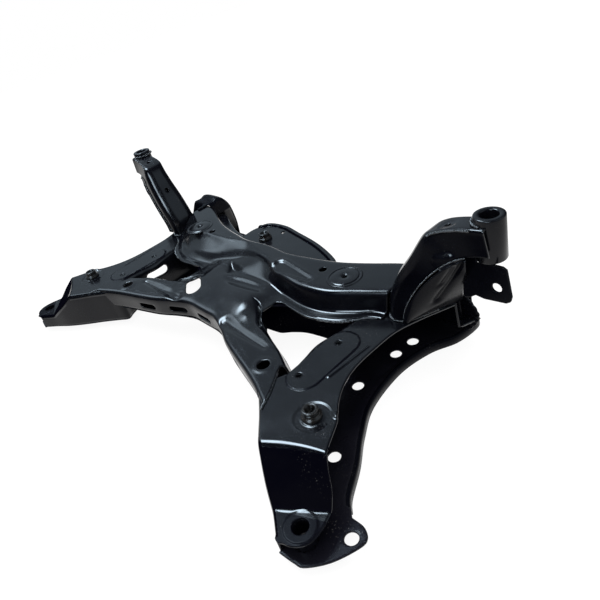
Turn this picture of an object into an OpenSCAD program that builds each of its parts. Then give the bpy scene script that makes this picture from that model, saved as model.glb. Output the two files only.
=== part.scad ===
/* [Sheet metal] */
// Thickness of the pressed sheet
sheet_t = 3; // [2:0.1:4]
// Gap left between pressings at a welded seam
seam_gap = 0.3; // [0.2:0.05:0.5]
// Bend radius of the pressings
bend_r = 8; // [6:0.5:10]

/* [Heights] */
// Height of the lower plate's top face above the floor
lower_z = 15; // [12:0.5:20]
// Height of the arm deck's top face above the floor
deck_z = 84; // [76:1:92]
// Height of the flat arm end's top face above the floor
arm_end_z = 41; // [36:1:48]
// Rise of the box crown above its flanges
box_rise = 33; // [24:1:40]
// Depth of the rail's walls
rail_wall = 37; // [30:1:44]
// Rise of the saddle between the rail and the box
saddle_rise = 8; // [4:0.5:12]

/* [Body mounts] */
// Half the distance between the arm end mounts
arm_end_x = 419; // [412:1:424]
// Place of the arm end mounts behind the collar nuts
arm_end_back = 98; // [94:1:102]
// Diameter of the bore in the arm end sleeves
sleeve_bore = 20; // [16:0.5:22]
// Wall of the arm end sleeves
sleeve_wall = 5.5; // [4:0.5:7]
// Clearance of the plates' holes round a bore
hole_clearance = 1; // [0.5:0.1:1.5]
// Half the distance between the tower tubes
tube_x = 446; // [442:1:450]
// Place of the tower tubes ahead of the collar nuts
tube_y = 251; // [247:1:255]
// Height of the tower tubes' top faces
tube_top_z = 252; // [246:1:260]
// Length of the tower tubes
tube_l = 58; // [52:1:64]
// Outside diameter of the tower tubes
tube_d = 38; // [35:0.5:42]
// Diameter of the bore in the tower tubes
tube_bore = 22; // [18:0.5:24]

/* [Collar nuts] */
// Half the distance between the collar nuts
nut_x = 350; // [345:1:355]
// Diameter of a nut's flange
nut_flange_d = 27; // [24:0.5:30]
// Height of a nut's flange
nut_flange_h = 5; // [3:0.5:7]
// Diameter of a nut's collar
nut_collar_d = 21; // [18:0.5:22]
// Height of a nut's collar
nut_collar_h = 9; // [6:0.5:14]
// Diameter of the thread's bore
nut_bore = 12; // [10:0.5:14]
// Depth of the relief below the thread
nut_relief_h = 2; // [1.5:0.1:3]
// Diameter of the relief below the thread
nut_relief_d = 15; // [14.5:0.5:18]

/* [Pads and holes] */
// Length of the raised pad on each arm deck
pad_l = 128; // [110:1:140]
// Width of the raised pad
pad_w = 52; // [44:1:60]
// Height of the raised pads
pad_h = 1.6; // [1:0.1:2.5]
// Distance between the two holes in a pad
pad_hole_pitch = 78; // [60:1:85]
// Diameter of the tapped collars under a pad
pad_collar_d = 18; // [14:0.5:22]
// Height of the tapped collars under a pad
pad_collar_h = 8; // [5:0.5:9]
// Diameter of the threads' bores in the pads
pad_thread_d = 8; // [6:0.5:10]
// Diameter of the round pads on the box crown
box_pad_d = 58; // [50:1:62]
// Diameter of the holes in the round pads
box_pad_hole_d = 9; // [7:0.5:11]
// Diameter of the plain holes in the box crown
box_hole_d = 14; // [10:0.5:16]
// Length of the saddle's through hole
saddle_hole_l = 54; // [44:1:58]
// Width of the saddle's through hole
saddle_hole_w = 31; // [26:1:36]
// Diameter of the holes in the rail ends
rail_hole_d = 20; // [14:1:24]
// Length of the slots in the rail's front wall
slot_l = 42; // [30:1:46]
// Height of the slots in the rail's front wall
slot_h = 13; // [8:1:16]
// Distance between the slots in the rail's front wall
slot_pitch = 73; // [68:1:78]
// Diameter of the holes in the lower arm plates
lower_hole_d = 19; // [14:0.5:22]
// Diameter of the holes in the rear tabs
rear_tab_hole_d = 18; // [14:0.5:20]

/* [Towers] */
// Width of a tower across its crown
tower_w = 58; // [52:1:62]
// Drop of the tower crown's top below the tube's top face
tower_drop = 12; // [9:1:15]
// Depth of the ribs pressed into the outer tower pressing
rib_depth = 3; // [1:0.5:4]
// Diameter of the hole in the tower crown
tower_hole_d = 9; // [6:0.5:12]
// Width of a side tab
side_tab_w = 46; // [42:1:50]
// Height of a side tab
side_tab_h = 52; // [46:1:56]
// Diameter of the hole in a side tab
side_tab_hole_d = 14; // [10:0.5:18]

/* [Front bracket] */
// Reach of the front bracket ahead of the box
bracket_reach = 86; // [70:1:96]
// Depth of the bracket's turned-down lip
bracket_lip = 14; // [8:1:20]
// Diameter of the hole in the front bracket
bracket_hole_d = 9; // [6:0.5:12]

/* [Hidden] */
$fn = 64;
eps = 0.01;

paint = [0.05, 0.055, 0.065];
dark_paint = [0.035, 0.038, 0.045];
nut_steel = [0.09, 0.095, 0.1];

// Heights that follow from the seams
seat_z = lower_z + seam_gap;
flange_z = deck_z + seam_gap + sheet_t;
box_z = flange_z + box_rise;
rail_floor_z = flange_z - rail_wall;
tower_top_z = tube_top_z - tower_drop;
tube_bottom_z = tube_top_z - tube_l;

// Smooth step from 0 to 1 as x goes from a to b
function ramp(x, a, b) =
    let (u = min(max((x - a) / (b - a), 0), 1))
    u * u * (3 - 2 * u);

function mix(a, b, u) = a + (b - a) * u;

// Point at 0 to 1 along a smooth curve through the points of p
function along(p, u) =
    let (
        n = len(p) - 1,
        s = min(max(u, 0), 1) * n,
        i = min(floor(s), n - 1),
        t = s - i,
        b = p[i],
        c = p[i + 1],
        a = i > 0 ? p[i - 1] : 2 * b - c,
        d = i < n - 1 ? p[i + 2] : 2 * c - b
    )
    b + t / 2 * ((c - a) + t * ((2 * a - 5 * b + 4 * c - d) + t * (3 * b - a - 3 * c + d)));

function curve(p, steps) = [for (i = [0:steps]) along(p, i / steps)];

// Smooth value at x through keys of [x, value], held beyond the ends
function key_at(k, x, i = 0) =
    i >= len(k) - 2 || x < k[i + 1][0] ? i : key_at(k, x, i + 1);

function key_slope(k, i) =
    let (a = k[max(i - 1, 0)], b = k[min(i + 1, len(k) - 1)])
    (b[1] - a[1]) / (b[0] - a[0]);

function value(k, x) =
    let (
        i = key_at(k, x),
        h = k[i + 1][0] - k[i][0],
        t = min(max((x - k[i][0]) / h, 0), 1),
        a = k[i][1],
        b = k[i + 1][1],
        rise = ramp(t, 0, 1)
    )
    mix(a, b, rise) + h * t * (1 - t) * ((1 - t) * key_slope(k, i) - t * key_slope(k, i + 1));

function unit(v) = v / max(norm(v), eps * eps);

// Sheet of thickness t under a grid of points, square to its face
module sheet(grid, t = sheet_t) {
    n = len(grid);
    m = len(grid[0]);
    function normal(i, j) = unit(cross(
        grid[min(i + 1, n - 1)][j] - grid[max(i - 1, 0)][j],
        grid[i][min(j + 1, m - 1)] - grid[i][max(j - 1, 0)]));
    top = [for (i = [0:n - 1]) for (j = [0:m - 1]) grid[i][j]];
    under = [for (i = [0:n - 1]) for (j = [0:m - 1]) grid[i][j] - t * normal(i, j)];
    k = n * m;
    function quad(a, b, c, d) = [[a, c, b], [a, d, c]];
    faces = [
        for (i = [0:n - 2]) for (j = [0:m - 2])
            let (a = i * m + j, b = a + m)
            for (f = concat(quad(a, b, b + 1, a + 1), quad(k + a, k + a + 1, k + b + 1, k + b))) f,
        for (i = [0:n - 2])
            let (a = i * m, b = a + m, c = a + m - 1, d = b + m - 1)
            for (f = concat(quad(a, k + a, k + b, b), quad(c, d, k + d, k + c))) f,
        for (j = [0:m - 2])
            let (a = j, b = j + 1, c = (n - 1) * m + j, d = c + 1)
            for (f = concat(quad(a, b, k + b, k + a), quad(c, k + c, k + d, d))) f,
    ];
    polyhedron(concat(top, under), faces);
}

// Strip of width t along the left side of a run of plan points
module ribbon(points, t, h) {
    n = len(points);
    function side(i) =
        let (d = unit(points[min(i + 1, n - 1)] - points[max(i - 1, 0)]))
        [-d[1], d[0]];
    inner = [for (i = [n - 1:-1:0]) points[i] + t * side(i)];
    linear_extrude(h) polygon(concat(points, inner));
}

function reversed(p) = [for (i = [len(p) - 1:-1:0]) p[i]];

module drill(x, y, z, d, h) {
    translate([x, y, z]) cylinder(d = d, h = h);
}

// Arm plan: matched points along the inner and outer edges, from the tower to the arm end
nut = [nut_x, 0];
arm_end = [arm_end_x, -arm_end_back];
arm_inner = [
    [262, 305], [262, 265], [262, 220], [262, 180], [257, 140], [250, 102], [255, 70], [258, 42],
    nut + [-103, 16], nut + [-112, 0], nut + [-93, -16], nut + [-65, -38],
    arm_end + [-101, 32], arm_end + [-69, 8], arm_end + [-41, -9], arm_end + [-23, -21],
    arm_end + [-14, -27],
];
arm_outer = [
    [385, 305], [368, 265], [348, 220], [335, 180], [333, 140], [335, 97], [345, 63], [361, 36],
    nut + [29, 16], nut + [40, -3], nut + [49, -20], nut + [60, -36],
    arm_end + [8, 46], arm_end + [18, 26], arm_end + [23, 0], arm_end + [16, -17], arm_end + [-3, -29],
];

// Crossmember plan: keys of [distance from the centre line, place]
rail_front = [[0, 56], [40, 55], [80, 43], [120, 26], [160, 14], [200, 3], [240, -10], [300, -36]];
rail_inner = [[0, 120], [95, 116], [133, 88], [164, 79], [209, 64], [240, 50], [300, 20]];
flange_edge = [
    [0, 150], [90, 146], [130, 142], [190, 136], [217, 142], [252, 156], [280, 182], [300, 190],
];
flange_root = [
    [0, 166], [60, 166], [115, 161], [169, 155], [214, 161], [257, 182], [280, 198], [300, 203],
];
box_back = [
    [0, 232], [60, 228], [100, 233], [140, 240], [180, 250], [225, 268], [270, 288], [300, 294],
];
crown_front = [
    [0, 196], [40, 189], [85, 172], [125, 164], [165, 161], [214, 168], [257, 188], [300, 209],
];
box_overlap = 38;
box_half_l = arm_inner[0][0] + box_overlap;
rail_draft = 3;
back_flange_w = 15;
hub_near = 70;
hub_far = 116;
wall_full = 170;
stations = 50;

// 1 in the hub at the centre and 0 out along the branches
function hub(x) = 1 - ramp(abs(x), hub_near, hub_far);

// Pressed dimples and bulges: [x, y, half length, half width, turn, height]
dimples = [
    [113, 187, 64, 15, -5, -6],
    [-168, 187, 62, 13, 5, -5],
    [30, 139, 40, 11, 4, -5],
    [66, 110, 60, 32, -14, 10],
    [132, 54, 78, 11, -3, -5],
    [-132, 54, 78, 11, 3, -5],
];

function dimple_at(d, x, y) =
    let (
        u = ((x - d[0]) * cos(d[4]) + (y - d[1]) * sin(d[4])) / d[2],
        v = ((y - d[1]) * cos(d[4]) - (x - d[0]) * sin(d[4])) / d[3],
        q = max(1 - u * u - v * v, 0)
    )
    d[5] * q * q;

function dimpled(x, y, z) = [x, y, z + [for (d = dimples) dimple_at(d, x, y)] * [for (d = dimples) 1]];

// One section of the upper pressing, from the rail's front wall to the back flange
function upper_section(x) =
    let (
        a = abs(x),
        h = hub(x),
        r = bend_r,
        f = value(rail_front, a),
        i = value(rail_inner, a),
        e = value(flange_edge, a),
        g = value(flange_root, a),
        c = value(crown_front, a),
        b = value(box_back, a),
        saddle = flange_z + saddle_rise * h,
        wall = mix(saddle, rail_floor_z, ramp(a, hub_far + 10, wall_full))
    )
    [
        [x, f + rail_draft, rail_floor_z],
        [x, f, flange_z - r],
        [x, f + 0.3 * r, flange_z - 0.3 * r],
        dimpled(x, f + r, flange_z),
        dimpled(x, mix(f, i, 0.36), mix(flange_z, saddle, 0.4)),
        dimpled(x, mix(f, i, 0.64), mix(flange_z, saddle, 0.8)),
        dimpled(x, i - r, saddle),
        dimpled(x, i - 0.3 * r, saddle - 0.3 * r * (1 - h)),
        dimpled(x, i, saddle - r * (1 - h)),
        dimpled(x, i + 4, wall),
        dimpled(x, e, saddle),
        dimpled(x, g - 4, saddle),
        dimpled(x, g, saddle + 2),
        dimpled(x, c, box_z - r),
        dimpled(x, c + 0.3 * r, box_z - 0.3 * r),
        dimpled(x, c + r, box_z),
        dimpled(x, mix(c + r, b - r, 0.33), box_z),
        dimpled(x, mix(c + r, b - r, 0.67), box_z),
        dimpled(x, b - r, box_z),
        [x, b - 0.3 * r, box_z - 0.3 * r],
        [x, b, box_z - r],
        [x, b + 3, flange_z + 2],
        [x, b + 7, flange_z],
        [x, b + 7 + back_flange_w, flange_z],
    ];

// Plan of the triangular opening between the rail, the box and the arm
function opening_plan() = concat(
    [for (a = [hub_far:12:240]) [a, value(rail_inner, a) + 5]],
    [[252, 46], [244, 38], [250, 26], [260, 12], [268, 0], [276, -14], [284, -30]],
    [[box_half_l + 10, -70], [box_half_l + 10, 190]],
    [for (a = [box_half_l - 4:-12:hub_far + 10]) [a, value(flange_edge, a) + 0.5]],
    [[hub_far, 138]]
);

arm_steps = 32;
bend_dir = [0.43, -0.9];
bend_start = 46;
bend_end = 100;

// Height of the arm's face at a plan point, through the cranked bend to the arm end
function arm_z(p) =
    let (d = (p - nut) * bend_dir, u = (d - bend_start) / (bend_end - bend_start))
    mix(deck_z, arm_end_z, mix(min(max(u, 0), 1), ramp(u, 0, 1), 0.5));

// Turned-down skirt of the deck, with the arm's inner wall below it
skirt_h = 4;

function arm_wall_section(u) =
    let (p = along(arm_inner, u), w = norm(along(arm_outer, u) - p))
    [
        [p[0], p[1], seat_z],
        [p[0], p[1], arm_z(p) - min(bend_r, w / 4) - skirt_h - seam_gap],
    ];

function arm_section(u) =
    let (
        p = along(arm_inner, u),
        q = along(arm_outer, u),
        w = norm(q - p),
        r = min(bend_r, w / 4),
        d = unit(q - p)
    )
    [
        [p[0], p[1], arm_z(p) - r - skirt_h],
        [p[0], p[1], arm_z(p) - r],
        concat(p + 0.3 * r * d, arm_z(p + 0.3 * r * d) - 0.3 * r),
        concat(p + r * d, arm_z(p + r * d)),
        concat(mix(p, q, 0.38), arm_z(mix(p, q, 0.38))),
        concat(mix(p, q, 0.66), arm_z(mix(p, q, 0.66))),
        concat(q - r * d / 2, arm_z(q - r * d / 2)),
        concat(q, arm_z(q) - 0.6),
    ];

pad_centre = [287, 82];
pad_hole_offset = [-6, -3];
pad_turn = 2;
pad_holes = [for (s = [-1, 1]) pad_centre + pad_hole_offset + [0, s * pad_hole_pitch / 2]];
box_pad_at = [214, 212];
box_hole_at = [165, 212];
saddle_hole_at = [-72, 92];
saddle_hole_turn = 57;
rail_hole_at = [222, 25];

// Lower arm plate plan: the outer run, the rear tab and the inner run
lower_front_y = 348;
lower_outer = [
    [352, lower_front_y], [366, 326], [361, 280], [340, 237], [330, 178], [341, 106], [367, 57],
    nut + [46, 16], nut + [68, -22],
];
rear_tab = [
    arm_end + [22, 53], arm_end + [41, 53], arm_end + [53, 45], arm_end + [53, 31], arm_end + [40, 0],
    arm_end + [21, -23], arm_end + [8, -27], arm_end + [-16, -30],
];
rear_tab_hole_at = arm_end + [39, 34];
lower_holes = [[310, 235], [306, 199], [303, 116], [364, 4]];
outer_steps = 36;

// Tower: crown line and edge line in side view, from the deck up past the tube.
// It leans from its foot at the box out to the tube, so its keys are shares of that reach.
tube_r = tube_d / 2;
tower_foot_x = box_half_l + 7;
function lean(share) = tower_foot_x + share * (tube_x - tower_foot_x);
tower_crown = [
    [box_half_l + 2, deck_z + seam_gap], [lean(0), box_z], [lean(0.13), box_z + 38],
    [lean(0.295), box_z + 71], [lean(0.446), tower_top_z - 17], [lean(0.576), tower_top_z - 7],
    [lean(0.784), tower_top_z], [lean(1.043), tower_top_z + 4],
];
tower_edge = [
    [lean(0.165), deck_z + seam_gap], [lean(0.237), 112], [lean(0.36), 142], [lean(0.511), 170],
    [lean(0.683), 193], [lean(0.813), 203], [lean(0.942), 207], [lean(1.086), 209],
];
tower_mid_y = tube_y - 19;
tower_near_y = tower_mid_y - tower_w / 2;
tower_far_y = tower_mid_y + tower_w / 2;
tower_tube_side_y = tube_y - tube_r - 2 * seam_gap - 2 * sheet_t;
tower_steps = 16;
tower_hole_at = [lean(0.655), tube_y - 14];
tower_slope_hole_at = [lean(0.165), tube_y - 22, 180];
tower_slope_hole_l = lean(0.34) - lean(0.165);
tower_lean = 6;

function tower_section(u) =
    let (
        c = along(tower_crown, u),
        e = along(tower_edge, u),
        r = mix(2, 0.5, ramp(u, 0.5, 0.72)) * bend_r,
        near = mix(tower_near_y - tower_lean, tower_tube_side_y, ramp(u, 0.2, 1)),
        far = mix(tower_far_y - tower_lean, tower_far_y, u),
        near_edge = near + 4 * (1 - u),
        far_edge = far - 2,
        d = unit(e - c),
        s = c + r * d,
        q = c + 0.3 * r * d
    )
    [
        [e[0], near_edge, e[1]],
        [s[0], near, s[1]],
        [q[0], near + 0.3 * r, q[1]],
        [c[0], near + r, c[1]],
        [c[0], far - r, c[1]],
        [q[0], far - 0.3 * r, q[1]],
        [s[0], far, s[1]],
        [e[0], far_edge, e[1]],
    ];

// Outer pressing of a tower: from the deck's edge up to the inner pressing's edge, with ribs
outer_low = [[336, 206], [344, 221], [353, 240], [362, 260], [372, 282]];
outer_from = 0.06;
outer_to = 0.78;
outer_cols = 20;
outer_rows = 8;
outer_bulge = 16;
rib_count = 4;

function outer_point(t, v) =
    let (
        low = along(outer_low, t),
        u = mix(outer_from, outer_to, t),
        e = along(tower_edge, u),
        y = tower_section(u)[0][1] - seam_gap,
        bulge = outer_bulge * v * (1 - v),
        rib = rib_depth * (1 - cos(360 * rib_count * t)) / 2 * ramp(v, 0, 0.3) * ramp(1 - v, 0, 0.3)
    )
    [
        mix(low[0], e[0] + 3, v) + bulge + rib,
        mix(low[1], y, v) - bulge - rib,
        mix(deck_z + seam_gap + sheet_t, e[1] - sheet_t, v),
    ];

// Pieces on the right hand side are drawn in place, and their twins are mirrored
frame_mid_y = (lower_front_y + min([for (p = rear_tab) p[1]])) / 2;

module placed() {
    translate([0, -frame_mid_y, 0]) children();
}

module both_sides() {
    children();
    mirror([1, 0, 0]) children();
}

module oblong(l, w, h) {
    n = 12;
    s = l / 2 - w / 2;
    arc = [for (i = [0:n]) w / 2 * [cos(180 * i / n), sin(180 * i / n)]];
    linear_extrude(h) polygon(concat([for (p = arc) p + [0, s]], [for (p = arc) -p - [0, s]]));
}

module arm_keepout() {
    edge = concat(curve(arm_inner, arm_steps), reversed(curve(arm_outer, arm_steps)));
    linear_extrude(deck_z + seam_gap - eps) offset(delta = seam_gap) polygon(edge);
}

module crossmember_upper() {
    color(paint) difference() {
        union() {
            sheet([for (i = [0:stations]) upper_section(mix(-box_half_l, box_half_l, i / stations))]);
            both_sides() translate([box_pad_at[0], box_pad_at[1], box_z - sheet_t / 2])
                cylinder(d = box_pad_d, h = sheet_t / 2 + pad_h);
        }
        both_sides() linear_extrude(box_z + sheet_t) polygon(opening_plan());
        both_sides() arm_keepout();
        both_sides()
            drill(box_pad_at[0], box_pad_at[1], flange_z, box_pad_hole_d, box_rise + pad_h + 1);
        both_sides() drill(box_hole_at[0], box_hole_at[1], flange_z, box_hole_d, box_rise + 1);
        both_sides()
            drill(rail_hole_at[0], rail_hole_at[1], rail_floor_z, rail_hole_d, rail_wall + sheet_t);
        translate([saddle_hole_at[0], saddle_hole_at[1], rail_floor_z]) rotate(saddle_hole_turn)
            oblong(saddle_hole_l, saddle_hole_w, box_z);
        for (i = [-2:2])
            translate([i * slot_pitch, value(rail_front, abs(i * slot_pitch)) - 20, rail_floor_z + 14])
                rotate([-90, 90, 0]) oblong(slot_l, slot_h, 40);
    }
}

// Tray under the box, flanged to the upper pressing at the level of the deck
tray_clearance = 6;
tray_half_l = arm_inner[0][0] - tray_clearance;
tray_stations = 32;
tray_front = [[0, 116], [98, 125], [118, 138], [140, 149], [173, 156], [214, 162], [256, 178]];

function tray_section(x) =
    let (
        a = abs(x),
        e = value(flange_edge, a),
        g = mix(value(flange_root, a), value(tray_front, a) + 8, hub(x)),
        w = value(tray_front, a),
        b = value(box_back, a)
    )
    [
        [x, min(e, w - 8) + 2, deck_z],
        [x, g - 6, deck_z],
        [x, g, deck_z - 3],
        [x, w + 10, seat_z + 4],
        [x, w + 16, seat_z],
        [x, b - 8, seat_z],
        [x, b - 2, seat_z + 4],
        [x, b + 5, deck_z - 3],
        [x, b + 10, deck_z],
        [x, b + 7 + back_flange_w, deck_z],
    ];

module crossmember_lower() {
    color(dark_paint) sheet([
        for (i = [0:tray_stations])
            tray_section(mix(-tray_half_l, tray_half_l, i / tray_stations))
    ]);
}

// Flat strip that closes the rail from below
rail_lower_half_l = 228;

module rail_lower() {
    right = [for (a = [0:12:rail_lower_half_l]) a];
    front = [for (a = right) [a, value(rail_front, a) + rail_draft]];
    inner = [for (a = right) [a, value(rail_inner, a) + 3 - 5 * hub(a)]];
    color(dark_paint) translate([0, 0, rail_floor_z - seam_gap - sheet_t]) linear_extrude(sheet_t)
        polygon(concat(
            reversed([for (p = front) [-p[0], p[1]]]), front,
            reversed(inner), [for (p = inner) [-p[0], p[1]]]));
}

window_at = [232, 101, 61];
window_l = 52;
window_w = 18;

module arm_deck() {
    collar_z = deck_z - sheet_t - pad_collar_h;
    sleeve_d = sleeve_bore + 2 * sleeve_wall;
    color(paint) difference() {
        union() {
            sheet([for (i = [0:arm_steps]) arm_section(i / arm_steps)]);
            translate([pad_centre[0], pad_centre[1], deck_z - sheet_t / 2]) rotate(pad_turn)
                oblong(pad_l, pad_w, sheet_t / 2 + pad_h);
            for (p = pad_holes) drill(p[0], p[1], collar_z, pad_collar_d, pad_collar_h + sheet_t);
            drill(arm_end[0], arm_end[1], seat_z, sleeve_d, arm_end_z - seat_z - 1);
        }
        for (p = pad_holes) drill(p[0], p[1], collar_z - 1, pad_thread_d, pad_collar_h + 3 * sheet_t);
        drill(nut[0], nut[1], deck_z - 2 * sheet_t, nut_bore + hole_clearance, 4 * sheet_t);
        drill(arm_end[0], arm_end[1], seat_z - 1, sleeve_bore, arm_end_z);
    }
}

module arm_wall() {
    color(paint) difference() {
        sheet([for (i = [0:arm_steps]) arm_wall_section(i / arm_steps)]);
        translate(window_at) rotate([0, 90, 0]) oblong(window_l, window_w, 40);
    }
}

module arm_lower() {
    run = curve(lower_outer, outer_steps);
    tab = curve(rear_tab, 28);
    inner = curve(arm_inner, arm_steps);
    rim_h = lower_z - sheet_t / 2;
    plate_z = lower_z - sheet_t;
    color(dark_paint) difference() {
        union() {
            translate([0, 0, plate_z]) linear_extrude(sheet_t)
                polygon(concat(run, tab, reversed(inner), [[inner[0][0], lower_front_y]]));
            ribbon(reversed(run), sheet_t, rim_h);
        }
        for (p = lower_holes) drill(p[0], p[1], -1, lower_hole_d, lower_z + 2);
        drill(rear_tab_hole_at[0], rear_tab_hole_at[1], 0, rear_tab_hole_d, lower_z + 1);
        drill(arm_end[0], arm_end[1], 0, sleeve_bore + hole_clearance, lower_z + 1);
    }
}

module tower_inner() {
    color(paint) difference() {
        sheet([for (i = [0:tower_steps]) tower_section(i / tower_steps)]);
        drill(tube_x, tube_y, tube_bottom_z, tube_d + 2 * seam_gap, tube_l);
        drill(tower_hole_at[0], tower_hole_at[1], tower_top_z - 20, tower_hole_d, 40);
        translate(tower_slope_hole_at) rotate([0, 90, 0])
            cylinder(d = tower_hole_d, h = tower_slope_hole_l);
    }
}

module tower_outer() {
    color(paint) sheet([
        for (i = [0:outer_cols])
            [for (j = [0:outer_rows]) outer_point(1 - i / outer_cols, j / outer_rows)]
    ]);
}

module tower_tube() {
    color(paint) translate([tube_x, tube_y, tube_bottom_z]) difference() {
        cylinder(d = tube_d, h = tube_l);
        translate([0, 0, -1]) cylinder(d = tube_bore, h = tube_l + 2);
    }
}

// Side tab below the tube, with a web that runs up into the tower behind the outer pressing
side_tab_y = tube_y - tube_bore / 2 - hole_clearance - sheet_t;
side_tab_x = tube_x - 13;
web_rise = 5;

module side_tab() {
    w = side_tab_w;
    h = side_tab_h;
    web = [
        [-4, h + 1], [-26, h], [-19, h - 10], [-10, h - 22], [-10, h - 30], [-22, h - 41],
        [-22, -web_rise], [-7, -web_rise], [0, 3],
    ];
    tab = [[11, 0], [w - 10, 0], [w - 5, 3], [w, h - 12], [w - 2, h - 4], [w - 8, h], [8, h + 3]];
    color(paint) translate([side_tab_x, side_tab_y, tube_bottom_z - seam_gap]) rotate([-90, 0, 0])
        difference() {
            linear_extrude(sheet_t) polygon(concat(tab, web));
            translate([w * 0.58, h * 0.62, -1]) cylinder(d = side_tab_hole_d, h = sheet_t + 2);
        }
}

pocket_end_y = 298;
pocket_end_x = arm_inner[0][0] + 106;
pocket_end_bulge = 20;

module pocket_end() {
    left_x = arm_inner[0][0] + sheet_t + seam_gap;
    low = seat_z;
    high = deck_z - sheet_t - seam_gap;
    bulge = [for (i = [0:10]) [pocket_end_x + pocket_end_bulge * sin(18 * i), mix(low, high, i / 10)]];
    corner = [[left_x + bend_r, high], [left_x, high - bend_r], [left_x, low]];
    color(dark_paint) translate([0, pocket_end_y + sheet_t, 0]) rotate([90, 0, 0])
        linear_extrude(sheet_t) polygon(concat(bulge, corner));
}

ear_w = 62;
ear_back = 54;
ear_seat_z = box_z + seam_gap + sheet_t;
ear_x = box_half_l - 16;
// Cheek that closes the inner side of an ear, above the back flange
cheek_z = flange_z + 4;
cheek_back = 2.2;
cheek_front = 47;
ear_profile = [
    [-32, ear_seat_z], [-14, ear_seat_z], [4, ear_seat_z + 2], [18, box_z + 10], [36, box_z - 2],
    [48, box_z - 26], [52, 58], [50, 34], [47, seat_z],
];

module front_ear() {
    start_y = lower_front_y - ear_back;
    run = curve(ear_profile, 24);
    cheek_tip = cheek_back - bend_r;
    cheek_top = [for (p = run) if (p[0] > cheek_tip && p[1] > cheek_z) p];
    cheek_wall = [
        [cheek_front, cheek_z], [cheek_back, cheek_z], [cheek_back - 0.35 * bend_r, box_z - bend_r],
        [cheek_back - 0.7 * bend_r, box_z - 0.15 * bend_r], [cheek_tip, ear_seat_z - sheet_t / 2],
    ];
    color(paint) translate([ear_x, start_y, 0]) rotate([90, 0, 90]) {
        ribbon(reversed(run), sheet_t, ear_w);
        linear_extrude(sheet_t) polygon(concat(cheek_top, cheek_wall));
    }
}

module flange_nut() {
    color(nut_steel) difference() {
        union() {
            cylinder(d = nut_flange_d, h = nut_flange_h);
            cylinder(d = nut_collar_d, h = nut_flange_h + nut_collar_h);
        }
        translate([0, 0, -1]) cylinder(d = nut_bore, h = nut_flange_h + nut_collar_h + 2);
        translate([0, 0, -1]) cylinder(d = nut_relief_d, h = nut_relief_h + 1);
    }
}

module collar_nut() {
    translate([nut[0], nut[1], deck_z]) flange_nut();
}

// Bracket ahead of the box, seated on the back flange
bracket_at = [-74, 272];
bracket_hole_at = [-58, 306];
bracket_z = flange_z + seam_gap;
bracket_left = -134;
bracket_right = 132;
bracket_step = 14;
bracket_nose_y = value(box_back, 0) + bracket_reach;

function bracket_back(x) = [x, value(box_back, abs(x)) + 8];

bracket_front = [
    bracket_back(bracket_left) + [0, 16], [bracket_left, bracket_nose_y - 28],
    [-117, bracket_nose_y + 2], [-70, bracket_nose_y + 9], [-20, bracket_nose_y],
    [50, bracket_nose_y - 15], [110, bracket_nose_y - 36],
    bracket_back(bracket_right) + [2, 20], bracket_back(bracket_right),
];

module front_bracket() {
    front = curve(bracket_front, 30);
    back = [for (x = [bracket_right:-bracket_step:bracket_left]) bracket_back(x)];
    color(paint) difference() {
        union() {
            translate([0, 0, bracket_z]) linear_extrude(sheet_t) polygon(concat(front, back));
            translate([0, 0, bracket_z - bracket_lip])
                ribbon(reversed([for (i = [6:26]) front[i]]), sheet_t, bracket_lip + sheet_t / 2);
        }
        drill(bracket_at[0], bracket_at[1], bracket_z - 1, nut_bore + hole_clearance, sheet_t + 2);
        drill(bracket_hole_at[0], bracket_hole_at[1], bracket_z - 1, bracket_hole_d, sheet_t + 2);
    }
}

module bracket_nut() {
    translate([bracket_at[0], bracket_at[1], bracket_z + sheet_t]) flange_nut();
}

// Weld nuts under the round pads
weld_nut_d = 19;
weld_nut_h = 8;

module weld_nut() {
    color(nut_steel) difference() {
        cylinder(d = weld_nut_d, h = weld_nut_h, $fn = 6);
        translate([0, 0, -1]) cylinder(d = box_pad_hole_d - hole_clearance, h = weld_nut_h + 2);
    }
}

module box_pad_nuts() {
    nut_z = box_z - sheet_t - seam_gap - weld_nut_h;
    both_sides() translate([box_pad_at[0], box_pad_at[1], nut_z]) weld_nut();
}

module left() {
    placed() mirror([1, 0, 0]) children();
}

placed() crossmember_upper();
placed() crossmember_lower();
placed() rail_lower();
placed() arm_deck();  // arm_deck_right
left() arm_deck();  // arm_deck_left
placed() arm_wall();  // arm_wall_right
left() arm_wall();  // arm_wall_left
placed() arm_lower();  // arm_lower_right
left() arm_lower();  // arm_lower_left
placed() tower_inner();  // tower_inner_right
left() tower_inner();  // tower_inner_left
placed() tower_outer();  // tower_outer_right
left() tower_outer();  // tower_outer_left
placed() tower_tube();  // tower_tube_right
left() tower_tube();  // tower_tube_left
placed() side_tab();  // side_tab_right
left() side_tab();  // side_tab_left
placed() pocket_end();  // pocket_end_right
left() pocket_end();  // pocket_end_left
placed() front_ear();  // front_ear_right
left() front_ear();  // front_ear_left
placed() collar_nut();  // collar_nut_right
left() collar_nut();  // collar_nut_left
placed() front_bracket();
placed() bracket_nut();
placed() box_pad_nuts();
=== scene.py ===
# %% [markdown]
# # A welded front subframe in black paint
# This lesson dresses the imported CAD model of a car's front subframe: an X-shaped pressed crossmember,
# two deep side arms, two towers with mounting tubes, and the small nuts, tabs and brackets on them.
# The CAD solids give every place and size. Here each pressing is made again as one fine, smooth sheet
# with rolled edges, dimples and creases, because pressed steel is read by the light along its bends.

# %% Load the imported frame
import math
import bpy
import numpy as np
from mathutils import Matrix


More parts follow.
